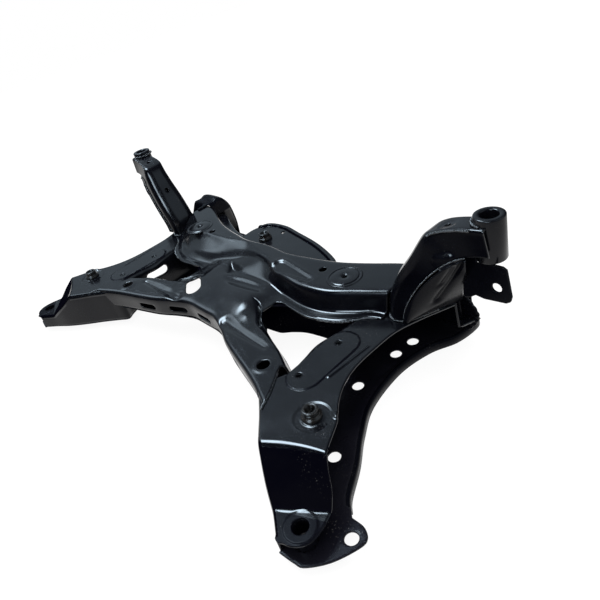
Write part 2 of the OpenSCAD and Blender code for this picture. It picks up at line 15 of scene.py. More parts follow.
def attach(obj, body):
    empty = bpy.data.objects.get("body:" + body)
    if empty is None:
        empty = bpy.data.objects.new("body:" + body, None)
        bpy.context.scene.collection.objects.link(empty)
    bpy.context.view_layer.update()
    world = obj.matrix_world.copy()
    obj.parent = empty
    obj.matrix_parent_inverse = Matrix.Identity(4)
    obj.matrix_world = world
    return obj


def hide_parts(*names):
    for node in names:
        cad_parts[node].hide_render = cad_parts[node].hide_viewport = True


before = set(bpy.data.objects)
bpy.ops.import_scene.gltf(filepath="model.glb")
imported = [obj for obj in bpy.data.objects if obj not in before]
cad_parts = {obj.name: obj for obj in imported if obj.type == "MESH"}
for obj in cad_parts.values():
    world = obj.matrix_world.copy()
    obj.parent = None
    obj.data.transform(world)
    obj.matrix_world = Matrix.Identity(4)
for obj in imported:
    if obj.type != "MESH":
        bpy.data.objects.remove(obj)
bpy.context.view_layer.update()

# %% [markdown]
# ## Numbers shared with the CAD model
# A pressed sheet is described by a few plan curves and heights, in millimetres. They are the same
# values as in the part's source, so each new skin lies on the solid that it stands for.
# The source draws with y = 0 at the collar nuts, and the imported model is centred, so one shift joins them.

# %% Heights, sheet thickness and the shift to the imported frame
MID_Y = 110.0
SHEET = 3.0
GAP = 0.3
BEND = 8.0
LOWER_Z, DECK_Z, END_Z = 15.0, 84.0, 41.0
SEAT_Z = LOWER_Z + GAP
FLANGE_Z = DECK_Z + GAP + SHEET
BOX_Z = FLANGE_Z + 33.0
RAIL_Z = FLANGE_Z - 37.0
NUT = np.array([350.0, 0.0])
ARM_END = np.array([419.0, -98.0])
TUBE = np.array([446.0, 251.0])
TUBE_TOP, TUBE_L, TUBE_R, TUBE_BORE_R = 252.0, 58.0, 19.0, 11.0


def to_frame(v):
    return (np.asarray(v, float) - [0.0, MID_Y, 0.0]) / 1000.0


print("deck at", DECK_Z, "flange at", FLANGE_Z, "box at", BOX_Z, "rail floor at", RAIL_Z)

# %% [markdown]
# ## Curves
# A press tool's outline is smooth. Two kinds of curve are enough: a spline through plan points, and a
# smooth value along the width of the part, given by a few keys. Blender's own curves could do this,
# but plain arrays let every station of a sheet be worked out at once.

# %% Curve helpers
def ramp(x, a, b):
    u = np.clip((np.asarray(x, float) - a) / (b - a), 0.0, 1.0)
    return u * u * (3.0 - 2.0 * u)


def mix(a, b, u):
    return a + (b - a) * u


def along(points, u):
    p = np.asarray(points, float)
    n = len(p) - 1
    s = np.clip(np.asarray(u, float), 0.0, 1.0) * n
    i = np.minimum(s.astype(int), n - 1)
    t = (s - i)[..., None]
    b, c = p[i], p[i + 1]
    a = np.where((i > 0)[..., None], p[np.maximum(i - 1, 0)], 2 * b - c)
    d = np.where((i < n - 1)[..., None], p[np.minimum(i + 2, n)], 2 * c - b)
    return b + t / 2 * ((c - a) + t * ((2 * a - 5 * b + 4 * c - d) + t * (3 * b - a - 3 * c + d)))


def keyed(keys, x):
    k = np.asarray(keys, float)
    n = len(k)
    x = np.asarray(x, float)
    hi = np.minimum(np.arange(n) + 1, n - 1)
    lo = np.maximum(np.arange(n) - 1, 0)
    slope = (k[hi, 1] - k[lo, 1]) / (k[hi, 0] - k[lo, 0])
    i = np.clip(np.searchsorted(k[:, 0], x, side="right") - 1, 0, n - 2)
    h = k[i + 1, 0] - k[i, 0]
    t = np.clip((x - k[i, 0]) / h, 0.0, 1.0)
    rise = t * t * (3.0 - 2.0 * t)
    return mix(k[i, 1], k[i + 1, 1], rise) + h * t * (1 - t) * ((1 - t) * slope[i] - t * slope[i + 1])


def unit(v):
    v = np.asarray(v, float)
    return v / np.maximum(np.linalg.norm(v, axis=-1, keepdims=True), 1e-9)


print("half way along a test curve:", along([[0, 0], [1, 2], [4, 2]], np.array([0.5]))[0])

# %% [markdown]
# ## Signed distances
# Holes, slots and cut edges are easiest as distances: a point is kept where the distance is above zero.
# The same idea gives the pressed dimples their soft walls.

# %% Distance helpers
NO_CUT = 99.0  # a distance that trims nothing


def from_segment(x, y, a, b):
    d = b - a
    t = np.clip(((x - a[0]) * d[0] + (y - a[1]) * d[1]) / max(d @ d, 1e-9), 0.0, 1.0)
    return t, np.hypot(x - a[0] - t * d[0], y - a[1] - t * d[1])


def line_distance(x, y, points, closed=False):
    p = np.asarray(points, float)
    q = np.roll(p, -1, axis=0) if closed else p[1:]
    best = np.full(np.shape(x), 1e9)
    for a, b in zip(p, q):
        best = np.minimum(best, from_segment(x, y, a, b)[1])
    return best


def inside_distance(x, y, outline):
    p = np.asarray(outline, float)
    inside = np.zeros(np.shape(x), bool)
    for a, b in zip(p, np.roll(p, -1, axis=0)):
        if a[1] != b[1]:
            cross = a[0] + (y - a[1]) / (b[1] - a[1]) * (b[0] - a[0])
            inside ^= ((a[1] > y) != (b[1] > y)) & (x < cross)
    return np.where(inside, 1.0, -1.0) * line_distance(x, y, p, closed=True)


def capsule(x, y, a, b, ra, rb):
    t, away = from_segment(x, y, np.asarray(a, float), np.asarray(b, float))
    return away - mix(ra, rb, t)


def hole(x, y, centre, radius):
    return np.hypot(x - centre[0], y - centre[1]) - radius


def pressed(r, height, soft, lip=0.0):
    return height * ramp(-r, -soft / 2, soft / 2) + lip * np.exp(-((r - soft / 2) / (0.45 * soft)) ** 2)


square = [[0, 0], [1, 0], [1, 1], [0, 1]]
print("inside a unit square:", inside_distance(np.array([0.5]), np.array([0.5]), square))

# %% [markdown]
# ## From a grid of points to a sheet of steel
# A pressing starts as a flat sheet and ends as a curved one of the same thickness. So each piece is a
# grid of points on its outer face. The grid is trimmed along the zero line of a distance, as a press
# trims a blank, and then it gets its thickness and a rolled edge. A Boolean could cut the holes and a
# Solidify modifier could add the wall, but a trimmed grid keeps clean rows of faces round each hole.

# %% Trim a grid
HALVINGS = 14  # steps that find the zero line on an edge
SNAP = 0.3     # a corner nearer to the line than this share of its edge is moved onto it


def halves(quads):
    return np.concatenate([quads[:, [0, 1, 2]], quads[:, [0, 2, 3]]])


def grid_patch(grid, keep=None):
    n, m = grid.shape[:2]
    verts = grid.reshape(-1, 3).copy()
    a = (np.arange(n - 1)[:, None] * m + np.arange(m - 1)[None, :]).ravel()
    quads = np.stack([a, a + m, a + m + 1, a + 1], axis=1)
    if keep is None:
        return verts, [tuple(q) for q in quads.tolist()]
    value = keep(verts)
    tris = halves(quads)
    edges = np.concatenate([tris[:, [0, 1]], tris[:, [1, 2]], tris[:, [2, 0]]])
    edges = np.unique(np.sort(edges, axis=1), axis=0)
    edges = edges[value[edges[:, 0]] * value[edges[:, 1]] < 0]
    p, q = verts[edges[:, 0]], verts[edges[:, 1]]
    lo, hi = np.zeros(len(edges)), np.ones(len(edges))
    for _ in range(HALVINGS):
        t = (lo + hi) / 2
        same = np.sign(keep(mix(p, q, t[:, None]))) == np.sign(value[edges[:, 0]])
        lo, hi = np.where(same, t, lo), np.where(same, hi, t)
    t = (lo + hi) / 2
    at = mix(p, q, t[:, None])
    moves = [(t[k], edges[k, 0], k) for k in np.where(t < SNAP)[0]]
    moves += [(1 - t[k], edges[k, 1], k) for k in np.where(t > 1 - SNAP)[0]]
    sign = np.sign(value)
    for _, v, k in sorted(moves, key=lambda w: -w[0]):
        verts[v] = at[k]
        sign[v] = 0
    cut, extra = {}, []
    for k, (i, j) in enumerate(edges.tolist()):
        if sign[i] * sign[j] < 0:
            cut[(i, j)] = len(verts) + len(extra)
            extra.append(at[k])
    verts = np.concatenate([verts, np.array(extra).reshape(-1, 3)])
    whole = (sign[quads] > 0).all(axis=1)
    faces = [tuple(w) for w in quads[whole].tolist()]
    for tri in halves(quads[~whole]).tolist():
        if max(sign[v] for v in tri) <= 0:
            continue
        face = []
        for i, j in zip(tri, tri[1:] + tri[:1]):
            if sign[i] >= 0:
                face.append(i)
            if sign[i] * sign[j] < 0:
                face.append(cut[(min(i, j), max(i, j))])
        if len(face) > 2:
            faces.append(tuple(face))
    used = np.unique(np.concatenate([np.array(f) for f in faces]))
    index = np.full(len(verts), -1)
    index[used] = np.arange(len(used))
    return verts[used], [tuple(int(index[v]) for v in f) for f in faces]


# %% Give a patch its thickness and a rolled edge
ROLL, INSET = 0.5, 0.55  # radius of a rolled edge, and how far inside an outline a sheet is trimmed for it
DIAGONALS = {3: (0, 1, 0, 2), 4: (0, 2, 1, 3), 5: (0, 2, 1, 4)}
MIRROR = np.array([-1.0, 1.0, 1.0])


def face_normals(verts, faces):
    normals = np.zeros_like(verts)
    for size, (a, b, c, d) in DIAGONALS.items():
        f = np.array([w for w in faces if len(w) == size], int)
        if len(f):
            n = np.cross(verts[f[:, b]] - verts[f[:, a]], verts[f[:, d]] - verts[f[:, c]])
            for k in range(size):
                np.add.at(normals, f[:, k], n)
    return unit(normals)


def shell(patch, thickness=SHEET):
    verts, faces = patch
    normal = face_normals(verts, faces)
    k = len(verts)
    under = verts - thickness * normal
    directed = {(f[i], f[(i + 1) % len(f)]) for f in faces for i in range(len(f))}
    rim = [(a, b) for a, b in directed if (b, a) not in directed]
    out = np.zeros_like(verts)
    for a, b in rim:
        o = np.cross(unit(verts[b] - verts[a]), normal[a])
        out[a] += o
        out[b] += o
    ids = sorted({v for e in rim for v in e})
    at = {v: i for i, v in enumerate(ids)}
    side = unit(out[ids])
    top = verts[ids] + ROLL * side - ROLL * normal[ids]
    low = under[ids] + ROLL * side + ROLL * normal[ids]
    body = list(faces) + [tuple(k + v for v in reversed(f)) for f in faces]
    t0, l0 = 2 * k, 2 * k + len(ids)
    for a, b in rim:
        i, j = at[a], at[b]
        body += [(b, a, t0 + i, t0 + j), (t0 + j, t0 + i, l0 + i, l0 + j), (l0 + j, l0 + i, k + a, k + b)]
    return np.concatenate([verts, under, top, low]), body


def sheet(grid, keep=None):
    return shell(grid_patch(grid, keep))


def mirrored(part):
    verts, faces = part
    return verts * MIRROR, [tuple(reversed(f)) for f in faces]


print("trim and shell are ready")

# %% Rows, lofts and turned-down rims
def row(x, y, z):
    return np.stack(np.broadcast_arrays(np.asarray(x, float), y, z), axis=-1)


def at_height(plan, z):
    return row(plan[:, 0], plan[:, 1], z)


def loft(lines, steps, passes=2):
    rows = []
    for a, b, k in zip(lines[:-1], lines[1:], steps):
        rows += [mix(a, b, s / k) for s in range(k)]
    grid = np.stack(rows + [lines[-1]], axis=1)
    for _ in range(passes):
        grid[:, 1:-1] = (grid[:, :-2] + 2 * grid[:, 1:-1] + grid[:, 2:]) / 4
    return grid


def plate_grid(x0, x1, y0, y1, step):
    x = np.linspace(x0, x1, max(int((x1 - x0) / step), 2) + 1)
    y = np.linspace(y0, y1, max(int((y1 - y0) / step), 2) + 1)
    return np.meshgrid(x, y, indexing="ij")


def turned_rim(run, radius, overlap, top, low):
    side = unit(np.gradient(run, axis=0))
    side = np.stack([-side[:, 1], side[:, 0]], axis=1)
    rows = [at_height(run - (radius + ROLL + overlap) * side, top)]
    for turn in np.radians(np.arange(0, 91, 15)):
        inset = radius + ROLL - radius * math.sin(turn)
        rows.append(at_height(run - inset * side, top - radius + radius * math.cos(turn)))
    rows.append(at_height(run - ROLL * side, low))
    return grid_patch(np.stack(rows, axis=1))


print("a test loft:", loft([np.zeros((5, 3)), np.ones((5, 3))], [4]).shape)

# %% [markdown]
# ## Materials
# The whole welded frame is dipped in one black paint. It is dark, a little blue, fairly glossy, and not
# quite even: there is a fine skin like an orange's, long soft waves from the press, grains of dust, and
# lighter lines on the sharpest edges, partly rubbed paint and partly a painted highlight along the bends.
# All of it is read from Object coordinates, so it stays on the part.
# The same recipe is also mixed as lit and shaded copies. Walls, slopes and hollows turned from the light
# get darker copies with less gleam, which is painted shade that keeps them from mirroring the white floor,
# and the lower plates get a lighter copy, which is painted light in place of their reflection.
# The gleam is a constant on the shader, because an export drops a linked one.

# %% Node helpers
def link(tree, a, out, b, into):
    tree.links.new(a.outputs[out], b.inputs[into])


def new_material(name):
    mat = bpy.data.materials.new(name)
    mat.use_nodes = True
    return mat, mat.node_tree


def noise(tree, coord, scale, detail=2.0, rough=0.5):
    n = tree.nodes.new("ShaderNodeTexNoise")
    for name, v in (("Scale", scale), ("Detail", detail), ("Roughness", rough)):
        n.inputs[name].default_value = v
    link(tree, coord, "Object", n, "Vector")
    return n


def span(tree, source, out, lo, hi, to_lo, to_hi):
    m = tree.nodes.new("ShaderNodeMapRange")
    for name, v in (("From Min", lo), ("From Max", hi), ("To Min", to_lo), ("To Max", to_hi)):
        m.inputs[name].default_value = v
    link(tree, source, out, m, "Value")
    return m


def combine(tree, operation, a, a_out, b, b_out):
    m = tree.nodes.new("ShaderNodeMath")
    m.operation = operation
    link(tree, a, a_out, m, 0)
    link(tree, b, b_out, m, 1)
    return m


def blend_colour(tree, factor, factor_out, a, b):
    m = tree.nodes.new("ShaderNodeMix")
    m.data_type = "RGBA"
    link(tree, factor, factor_out, m, 0)
    for socket, c in ((6, a), (7, b)):
        if isinstance(c, tuple):
            m.inputs[socket].default_value = (*c, 1.0)
        else:
            link(tree, c, 2, m, socket)
    return m


def bump(tree, height, strength, distance, before=None):
    b = tree.nodes.new("ShaderNodeBump")
    b.inputs["Strength"].default_value = strength
    b.inputs["Distance"].default_value = distance
    link(tree, height, "Fac", b, "Height")
    if before:
        link(tree, before, "Normal", b, "Normal")
    return b


print("node helpers are ready")

# %% Black paint
CLOUD, GRAIN, PATCH, WEAR_AND_HIGHLIGHT_SCALE, SPOT, SHEEN, WAVE, PEEL = 14.0, 520.0, 17.0, 60.0, 26.0, 33.0, 28.0, 900.0
DUST_TONE, WEAR_AND_HIGHLIGHT_TONE, RUST_TONE = (0.16, 0.16, 0.155), (0.045, 0.05, 0.058), (0.09, 0.045, 0.022)
WAVE_HIGH, PEEL_HIGH, PEEL_STRENGTH = 0.0016, 0.0002, 0.10


def paint(name, dark, light, rough, dust, waves, rust, gleam):
    mat, tree = new_material(name)
    shader = tree.nodes["Principled BSDF"]
    coord = tree.nodes.new("ShaderNodeTexCoord")
    tone = span(tree, noise(tree, coord, CLOUD, 3.0), "Fac", 0.35, 0.65, 0.0, 1.0)
    colour = blend_colour(tree, tone, "Result", dark, light)
    grain = span(tree, noise(tree, coord, GRAIN), "Fac", 0.66, 0.72, 0.0, 1.0)
    patch = span(tree, noise(tree, coord, PATCH), "Fac", 0.52, 0.68, 0.0, dust)
    specks = combine(tree, "MULTIPLY", grain, "Result", patch, "Result")
    colour = blend_colour(tree, specks, "Value", colour, DUST_TONE)
    geometry = tree.nodes.new("ShaderNodeNewGeometry")
    # Lighter colour on the sharpest edges: partly rubbed paint, partly a painted highlight along the bends.
    sharp = span(tree, geometry, "Pointiness", 0.53, 0.62, 0.0, 0.35)
    uneven = span(tree, noise(tree, coord, WEAR_AND_HIGHLIGHT_SCALE, 3.0), "Fac", 0.4, 0.6, 0.2, 1.0)
    wear_and_highlight = combine(tree, "MULTIPLY", sharp, "Result", uneven, "Result")
    colour = blend_colour(tree, wear_and_highlight, "Value", colour, WEAR_AND_HIGHLIGHT_TONE)
    if rust:
        spot = span(tree, noise(tree, coord, SPOT, 4.0), "Fac", 0.60, 0.70, 0.0, rust)
        colour = blend_colour(tree, spot, "Result", colour, RUST_TONE)
    link(tree, colour, 2, shader, "Base Color")
    gloss = span(tree, noise(tree, coord, SHEEN, 4.0, 0.6), "Fac", 0.3, 0.7, rough - 0.06, rough + 0.08)
    link(tree, gloss, "Result", shader, "Roughness")
    press = bump(tree, noise(tree, coord, WAVE, 1.0), waves, WAVE_HIGH)
    peel = bump(tree, noise(tree, coord, PEEL, 1.0), PEEL_STRENGTH, PEEL_HIGH, press)
    link(tree, peel, "Normal", shader, "Normal")
    shader.inputs["Specular IOR Level"].default_value = gleam
    return mat


# name: dark tone, light tone, roughness, dust, press waves, rust, gleam
PAINTS = {
    "black_paint": ((0.0022, 0.0026, 0.0048), (0.0045, 0.0052, 0.0075), 0.15, 0.35, 0.25, 0.0, 0.5),
    # tower, flank, wall and inner copies: darker tones and less gleam, painted shade
    "tower_painted_shade": ((0.0022, 0.0024, 0.0045), (0.0045, 0.0048, 0.0075), 0.17, 0.4, 0.25, 0.0, 0.42),
    "flank_painted_shade": ((0.0022, 0.0024, 0.0045), (0.0045, 0.0048, 0.0075), 0.22, 0.4, 0.25, 0.0, 0.2),
    "wall_painted_shade": ((0.0016, 0.0018, 0.0040), (0.0034, 0.0038, 0.0064), 0.26, 0.4, 0.25, 0.0, 0.05),
    "inner_painted_shade": ((0.0012, 0.0013, 0.0040), (0.0030, 0.0030, 0.0055), 0.42, 0.6, 0.25, 0.0, 0.0),
    # plate copy: a lighter tone, painted light in place of its reflection, with real dust specks
    "plate_painted_light": ((0.0050, 0.0050, 0.0090), (0.0100, 0.0100, 0.0150), 0.30, 0.9, 0.25, 0.0, 0.12),
    "weld_paint": ((0.003, 0.0035, 0.005), (0.012, 0.013, 0.016), 0.30, 0.9, 0.8, 0.0, 0.8),
    "nut_paint": ((0.003, 0.003, 0.004), (0.012, 0.011, 0.010), 0.24, 0.6, 0.2, 0.10, 0.5),
}
(black_paint, tower_painted_shade, flank_painted_shade, wall_painted_shade,
 inner_painted_shade, plate_painted_light, weld_paint, nut_paint) = [paint(name, *look) for name, look in PAINTS.items()]
print("materials:", list(PAINTS))

# %% [markdown]
# ## Making a piece
# A finished piece is one mesh at the origin, in metres. Its edges are smooth up to an angle, so a bend
# shades softly and a sheared edge stays crisp. A piece has one paint, and each of its other coats is a
# second paint with a rule that picks faces by where they lie and which way they face. These coats are
# the lit and shaded copies of the paint: they paint shade onto faces turned from the light, and on a
# tube's top the glossy paint.
# The piece rides on the one body of the part and hides the CAD nodes that it stands for.

# %% Turn closed parts into a piece
SMOOTH = math.radians(48)
pieces = {}


def new_mesh(name, verts, faces, material):
    mesh = bpy.data.meshes.new(name)
    mesh.from_pydata(np.asarray(verts).tolist(), [], faces)
    mesh.materials.append(material)
    return mesh


def add(name, data):
    obj = bpy.data.objects.new(name, data)
    bpy.context.scene.collection.objects.link(obj)
    return obj


def enter(name, mesh, nodes=()):
    obj = add(name, mesh)
    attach(obj, "root")
    if nodes:
        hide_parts(*nodes)
    pieces[name] = len(mesh.loops) - 2 * len(mesh.polygons)
    print(name, pieces[name], "triangles")


def piece(name, parts, material, nodes, lit_and_shaded_coats=()):
    verts, faces = [], []
    for v, f in parts:
        k = sum(len(w) for w in verts)
        verts.append(to_frame(v))
        faces += [tuple(k + i for i in w) for w in f]
    mesh = new_mesh(name, np.concatenate(verts), faces, material)
    mid = np.array([f.center for f in mesh.polygons]) * 1000 + [0.0, MID_Y, 0.0]
    facing = np.array([f.normal for f in mesh.polygons])
    index = np.zeros(len(mid), np.int32)
    for k, (other, rule) in enumerate(lit_and_shaded_coats, 1):
        mesh.materials.append(other)
        index[rule(mid, facing)] = k
    mesh.polygons.foreach_set("material_index", index)
    mesh.shade_smooth()
    mesh.set_sharp_from_angle(angle=SMOOTH)
    enter(name, mesh, nodes)


def pair(name, parts, material, also=(), lit_and_shaded_coats=()):
    for side in ("right", "left"):
        hand = parts if side == "right" else [mirrored(p) for p in parts]
        piece(f"{name}_{side}_skin", hand, material, [f"{n}_{side}" for n in (name, *also)], lit_and_shaded_coats)


print("edges stay smooth up to", round(math.degrees(SMOOTH)), "degrees")

# %% [markdown]
# ## The upper crossmember
# This is the largest pressing and the hardest: a rail in front, a box behind, and a saddle that joins
# them at the middle, where the walls fade out. It is lofted from one section that changes with the
# distance from the middle, and the dimples are pressed in afterwards where the sheet looks upwards.
# On the far half the box's front is a softer slope than in the CAD solid, as the photograph shows it.

# %% Plan keys of the crossmember
RAIL_FRONT = [(0, 56), (40, 55), (80, 43), (120, 26), (160, 14), (200, 3), (240, -10), (300, -36)]
RAIL_INNER = [(0, 120), (95, 116), (133, 88), (164, 79), (209, 64), (240, 50), (300, 20)]
FLANGE_EDGE = [(0, 150), (90, 146), (130, 142), (190, 136), (217, 142), (252, 156), (280, 182), (300, 190)]
FLANGE_ROOT = [(0, 166), (60, 166), (115, 161), (169, 155), (214, 161), (257, 182), (280, 198), (300, 203)]
CROWN_FRONT = [(0, 196), (40, 189), (85, 172), (125, 164), (165, 161), (214, 168), (257, 188), (300, 209)]
BOX_BACK = [(0, 232), (60, 228), (100, 233), (140, 240), (180, 250), (225, 268), (270, 288), (300, 294)]
HUB_NEAR, HUB_FAR, WALL_FULL, BOX_HALF = 70.0, 116.0, 170.0, 300.0
ARM_INNER = np.array([
    (262, 305), (262, 265), (262, 220), (262, 180), (257, 140), (250, 102), (255, 70), (258, 42),
    NUT + (-103, 16), NUT + (-112, 0), NUT + (-93, -16), NUT + (-65, -38), ARM_END + (-101, 32),
    ARM_END + (-69, 8), ARM_END + (-41, -9), ARM_END + (-23, -21), ARM_END + (-14, -27)], float)
ARM_OUTER = np.array([
    (385, 305), (368, 265), (348, 220), (335, 180), (333, 140), (335, 97), (345, 63), (361, 36),
    NUT + (29, 16), NUT + (40, -3), NUT + (49, -20), NUT + (60, -36), ARM_END + (8, 46),
    ARM_END + (18, 26), ARM_END + (23, 0), ARM_END + (16, -17), ARM_END + (-3, -29)], float)
STRUT_END = [(252, 46), (244, 38), (250, 26), (260, 12), (268, 0), (276, -14), (284, -30)]
steps = np.linspace(0, 1, 65)
arm_plan = np.concatenate([along(ARM_INNER, steps), along(ARM_OUTER, steps)[::-1]])
a = np.arange(HUB_FAR, 241, 8.0)
c = np.arange(296, HUB_FAR + 9, -8.0)
opening = np.concatenate([
    np.stack([a, keyed(RAIL_INNER, a) + 5], 1),
    STRUT_END, [(310, -70), (310, 190)],
    np.stack([c, keyed(FLANGE_EDGE, c) + 0.5], 1), [(HUB_FAR, 138)]])
print("opening outline of", len(opening), "points")

# %% Loft the crossmember's outer face
HUB_RISE = 8.0
MID_ROUND = 25.0  # rounds the distance from the middle, so that no crease runs along x = 0
FAR_CROWN_Z, FAR_CROWN_Y, FAR_CROWN_BACK = 25.0, 36.0, 4.0
x = np.linspace(-BOX_HALF, BOX_HALF, 301)
a = x * np.tanh(x / MID_ROUND)
hub = 1 - ramp(a, HUB_NEAR, HUB_FAR)
f, i, e = keyed(RAIL_FRONT, a), keyed(RAIL_INNER, a), keyed(FLANGE_EDGE, a)
g, c, b = keyed(FLANGE_ROOT, a), keyed(CROWN_FRONT, a), keyed(BOX_BACK, a)
saddle = FLANGE_Z + HUB_RISE * hub
wall = mix(saddle, RAIL_Z, ramp(a, HUB_FAR + 10, WALL_FULL))
r = BEND
far_side = ramp(-x, -20, 90)
crown = mix(BEND, FAR_CROWN_Z, far_side)
crown_y = mix(BEND, FAR_CROWN_Y, far_side)
c = c + FAR_CROWN_BACK * far_side
section = [  # y and z of each bend, from the rail's outer wall to the flange behind the box
    (f + 3, RAIL_Z), (f, FLANGE_Z - r), (f + 0.3 * r, FLANGE_Z - 0.3 * r), (f + r, FLANGE_Z),
    (mix(f, i, 0.36), mix(FLANGE_Z, saddle, 0.4)), (mix(f, i, 0.64), mix(FLANGE_Z, saddle, 0.8)),
    (i - r, saddle), (i - 0.3 * r, saddle - 0.3 * r * (1 - hub)), (i, saddle - r * (1 - hub)),
    (i + 4, wall), (e, saddle), (g - 4, saddle), (g, saddle + 2), (c, BOX_Z - crown),
    (c + mix(0.3, 0.45, far_side) * crown_y, BOX_Z - mix(0.3, 0.4, far_side) * crown), (c + crown_y, BOX_Z),
    (b - r, BOX_Z), (b - 0.3 * r, BOX_Z - 0.3 * r), (b, BOX_Z - r),
    (b + 3, FLANGE_Z + 2), (b + 7, FLANGE_Z), (b + 22, FLANGE_Z)]
upper = loft([row(x, y, z) for y, z in section],
             [8, 3, 3, 8, 8, 6, 3, 3, 8, 10, 6, 3, 8, 3, 3, 24, 2, 2, 6, 2, 4], 4)
print("crossmember grid", upper.shape)

# %% Press the dimples, bulges and pads
def upward(grid):
    n = np.cross(np.gradient(grid, axis=0), np.gradient(grid, axis=1))
    return ramp(unit(n)[..., 2], 0.45, 0.85)


def lens(x, y, cx, cy, half_l, half_w, turn):
    t = math.radians(turn)
    u = ((x - cx) * math.cos(t) + (y - cy) * math.sin(t)) / half_l
    v = ((y - cy) * math.cos(t) - (x - cx) * math.sin(t)) / half_w
    return (np.sqrt(u * u + v * v) - 1) * half_w


BOX_PAD, BOX_HOLE, RAIL_HOLE = (214, 212), (165, 212), (222, 25)
NOTCH, NOTCH_DEPTH = [(-37, 148), (-62, 176), (-14, 168)], 7
px, py = upper[..., 0], upper[..., 1]
dents = [  # distance to the edge, height, width of the soft wall, lip
    (capsule(px, py, (80, 187), (164, 182), 14, 4), -3.6, 8, 0.6),  # teardrop in the near crown
    (lens(px, py, -168, 187, 60, 13, 5), -3.5, 14, 0.4),  # dish in the far crown
    (lens(px, py, 30, 139, 40, 10, 4), -4, 12, 0.4),  # trough at the foot of the box
    (lens(px, py, 62, 110, 44, 20, -14), 5, 38)]  # bulge on the hub
for s in (1, -1):
    dents += [
        (capsule(px, py, (s * 78, 57), (s * 192, 51), 9, 2), -4, 12),  # gutter along the rail
        (capsule(px, py, (s * 104, 84), (s * 204, 62), 6, 3), 3.0, 20),  # ridge beside the opening
        (capsule(px, py, (s * 70, 56), (s * 186, 21), 1, 1), -1.3, 4),  # fine line beside the bend
        (np.abs(hole(px, py, (s * RAIL_HOLE[0], RAIL_HOLE[1]), 13)) - 3, 1.2, 4)]  # collar of the hole
lift = sum(pressed(*dent) for dent in dents) - NOTCH_DEPTH * ramp(inside_distance(px, py, NOTCH), -3, 7)
upper[..., 2] += lift * upward(upper)
for _ in range(3):
    level = upper[..., 2]
    level[1:-1] = (level[:-2] + 2 * level[1:-1] + level[2:]) / 4
print("deepest dimple", round(float(lift.min()), 1), "mm, highest bulge", round(float(lift.max()), 1), "mm")

# %% Trim the openings, holes and slots
UPPER_HOLES = [(BOX_PAD, 4.5), (BOX_HOLE, 7), (RAIL_HOLE, 10)]
SADDLE_HOLE = (-72 - 9.6, 92 + 6.3), (-72 + 9.6, 92 - 6.3), 15.5, 15.5
SLOT_STEP, SLOT_HALF, SLOT_R, SLOT_Z = 73, 14.5, 6.5, RAIL_Z + 14


def keep_upper(v):
    x, y, z = v.T
    a = np.abs(x)
    under_deck = np.maximum(-inside_distance(a, y, arm_plan) - GAP, z - DECK_Z - GAP)
    cuts = [-inside_distance(a, y, opening), under_deck, capsule(x, y, *SADDLE_HOLE)]
    cuts += [hole(a, y, at, radius) for at, radius in UPPER_HOLES]
    behind = y - keyed(RAIL_FRONT, a) > 7
    for k in range(-2, 3):
        mid = SLOT_STEP * k
        slot = capsule(x, z, (mid - SLOT_HALF, SLOT_Z), (mid + SLOT_HALF, SLOT_Z), SLOT_R, SLOT_R)
        cuts.append(np.where(behind, NO_CUT, slot))
    return np.min(cuts, axis=0)


upper_skin = sheet(upper, keep_upper)
print("crossmember sheet of", len(upper_skin[1]), "faces")

# %% Set the turned pads on the crown and paint shade onto the walls
def spun(profile, centre, z0, count=96, pitch=0.0, bore_rows=(), depth=0.55):
    prof = np.asarray(profile, float)
    angle = np.linspace(0, 2 * math.pi, count, endpoint=False)
    radius = np.repeat(prof[None, :, 0], count, axis=0)
    if pitch:
        rows = list(bore_rows)
        phase = prof[None, rows, 1] / pitch - angle[:, None] / (2 * math.pi)
        radius[:, rows] += depth * np.abs(2 * (phase - np.floor(phase)) - 1)
    v = row(centre[0] + radius * np.cos(angle)[:, None], centre[1] + radius * np.sin(angle)[:, None],
            z0 + prof[None, :, 1])
    n, m = v.shape[:2]
    faces = [(i * m + j, ((i + 1) % n) * m + j, ((i + 1) % n) * m + (j + 1) % m, i * m + (j + 1) % m)
             for i in range(n) for j in range(m)]
    return v.reshape(-1, 3), faces


BOX_FROM_Y = 130


# Forward faces of the box's near front wall take the dark wall copy: painted shade.
def front_wall(mid, facing):
    return (facing[:, 1] < -0.72) & (mid[:, 1] > BOX_FROM_Y) & (mid[:, 0] > 0)


# Forward faces of the rail and of the far box take the half dull copy: painted shade.
def flank(mid, facing):
    rail = mid[:, 1] < keyed(RAIL_FRONT, np.abs(mid[:, 0])) + BEND
    far_box = (mid[:, 1] > BOX_FROM_Y) & (mid[:, 0] < 0)
    return (facing[:, 1] < -0.6) & (rail | far_box)


PAD_RINGS = [(4.5, -2.0), (28.0, -2.0), (29.0, 0.1), (28.4, 0.9), (27.6, 1.1), (25.2, 1.0), (24.4, 0.4),
             (23.6, 0.4), (22.6, 1.2), (21.6, 1.5), (12.0, 1.6), (5.2, 1.5), (4.5, 0.9)]
box_pads = [spun(PAD_RINGS, (s * BOX_PAD[0], BOX_PAD[1]), BOX_Z) for s in (1, -1)]
piece("crossmember_upper_skin", [upper_skin] + box_pads, black_paint, ["crossmember_upper"],
      lit_and_shaded_coats=[(wall_painted_shade, front_wall), (flank_painted_shade, flank)])

# %% [markdown]
# ## The tray
# Under the box lies a tray that closes it. Only its front wall shows through the opening, but from
# below it is the largest face, so it is lofted as carefully as the upper pressing. It takes the darkest
# copy of the paint, painted shade for the inside of the box.

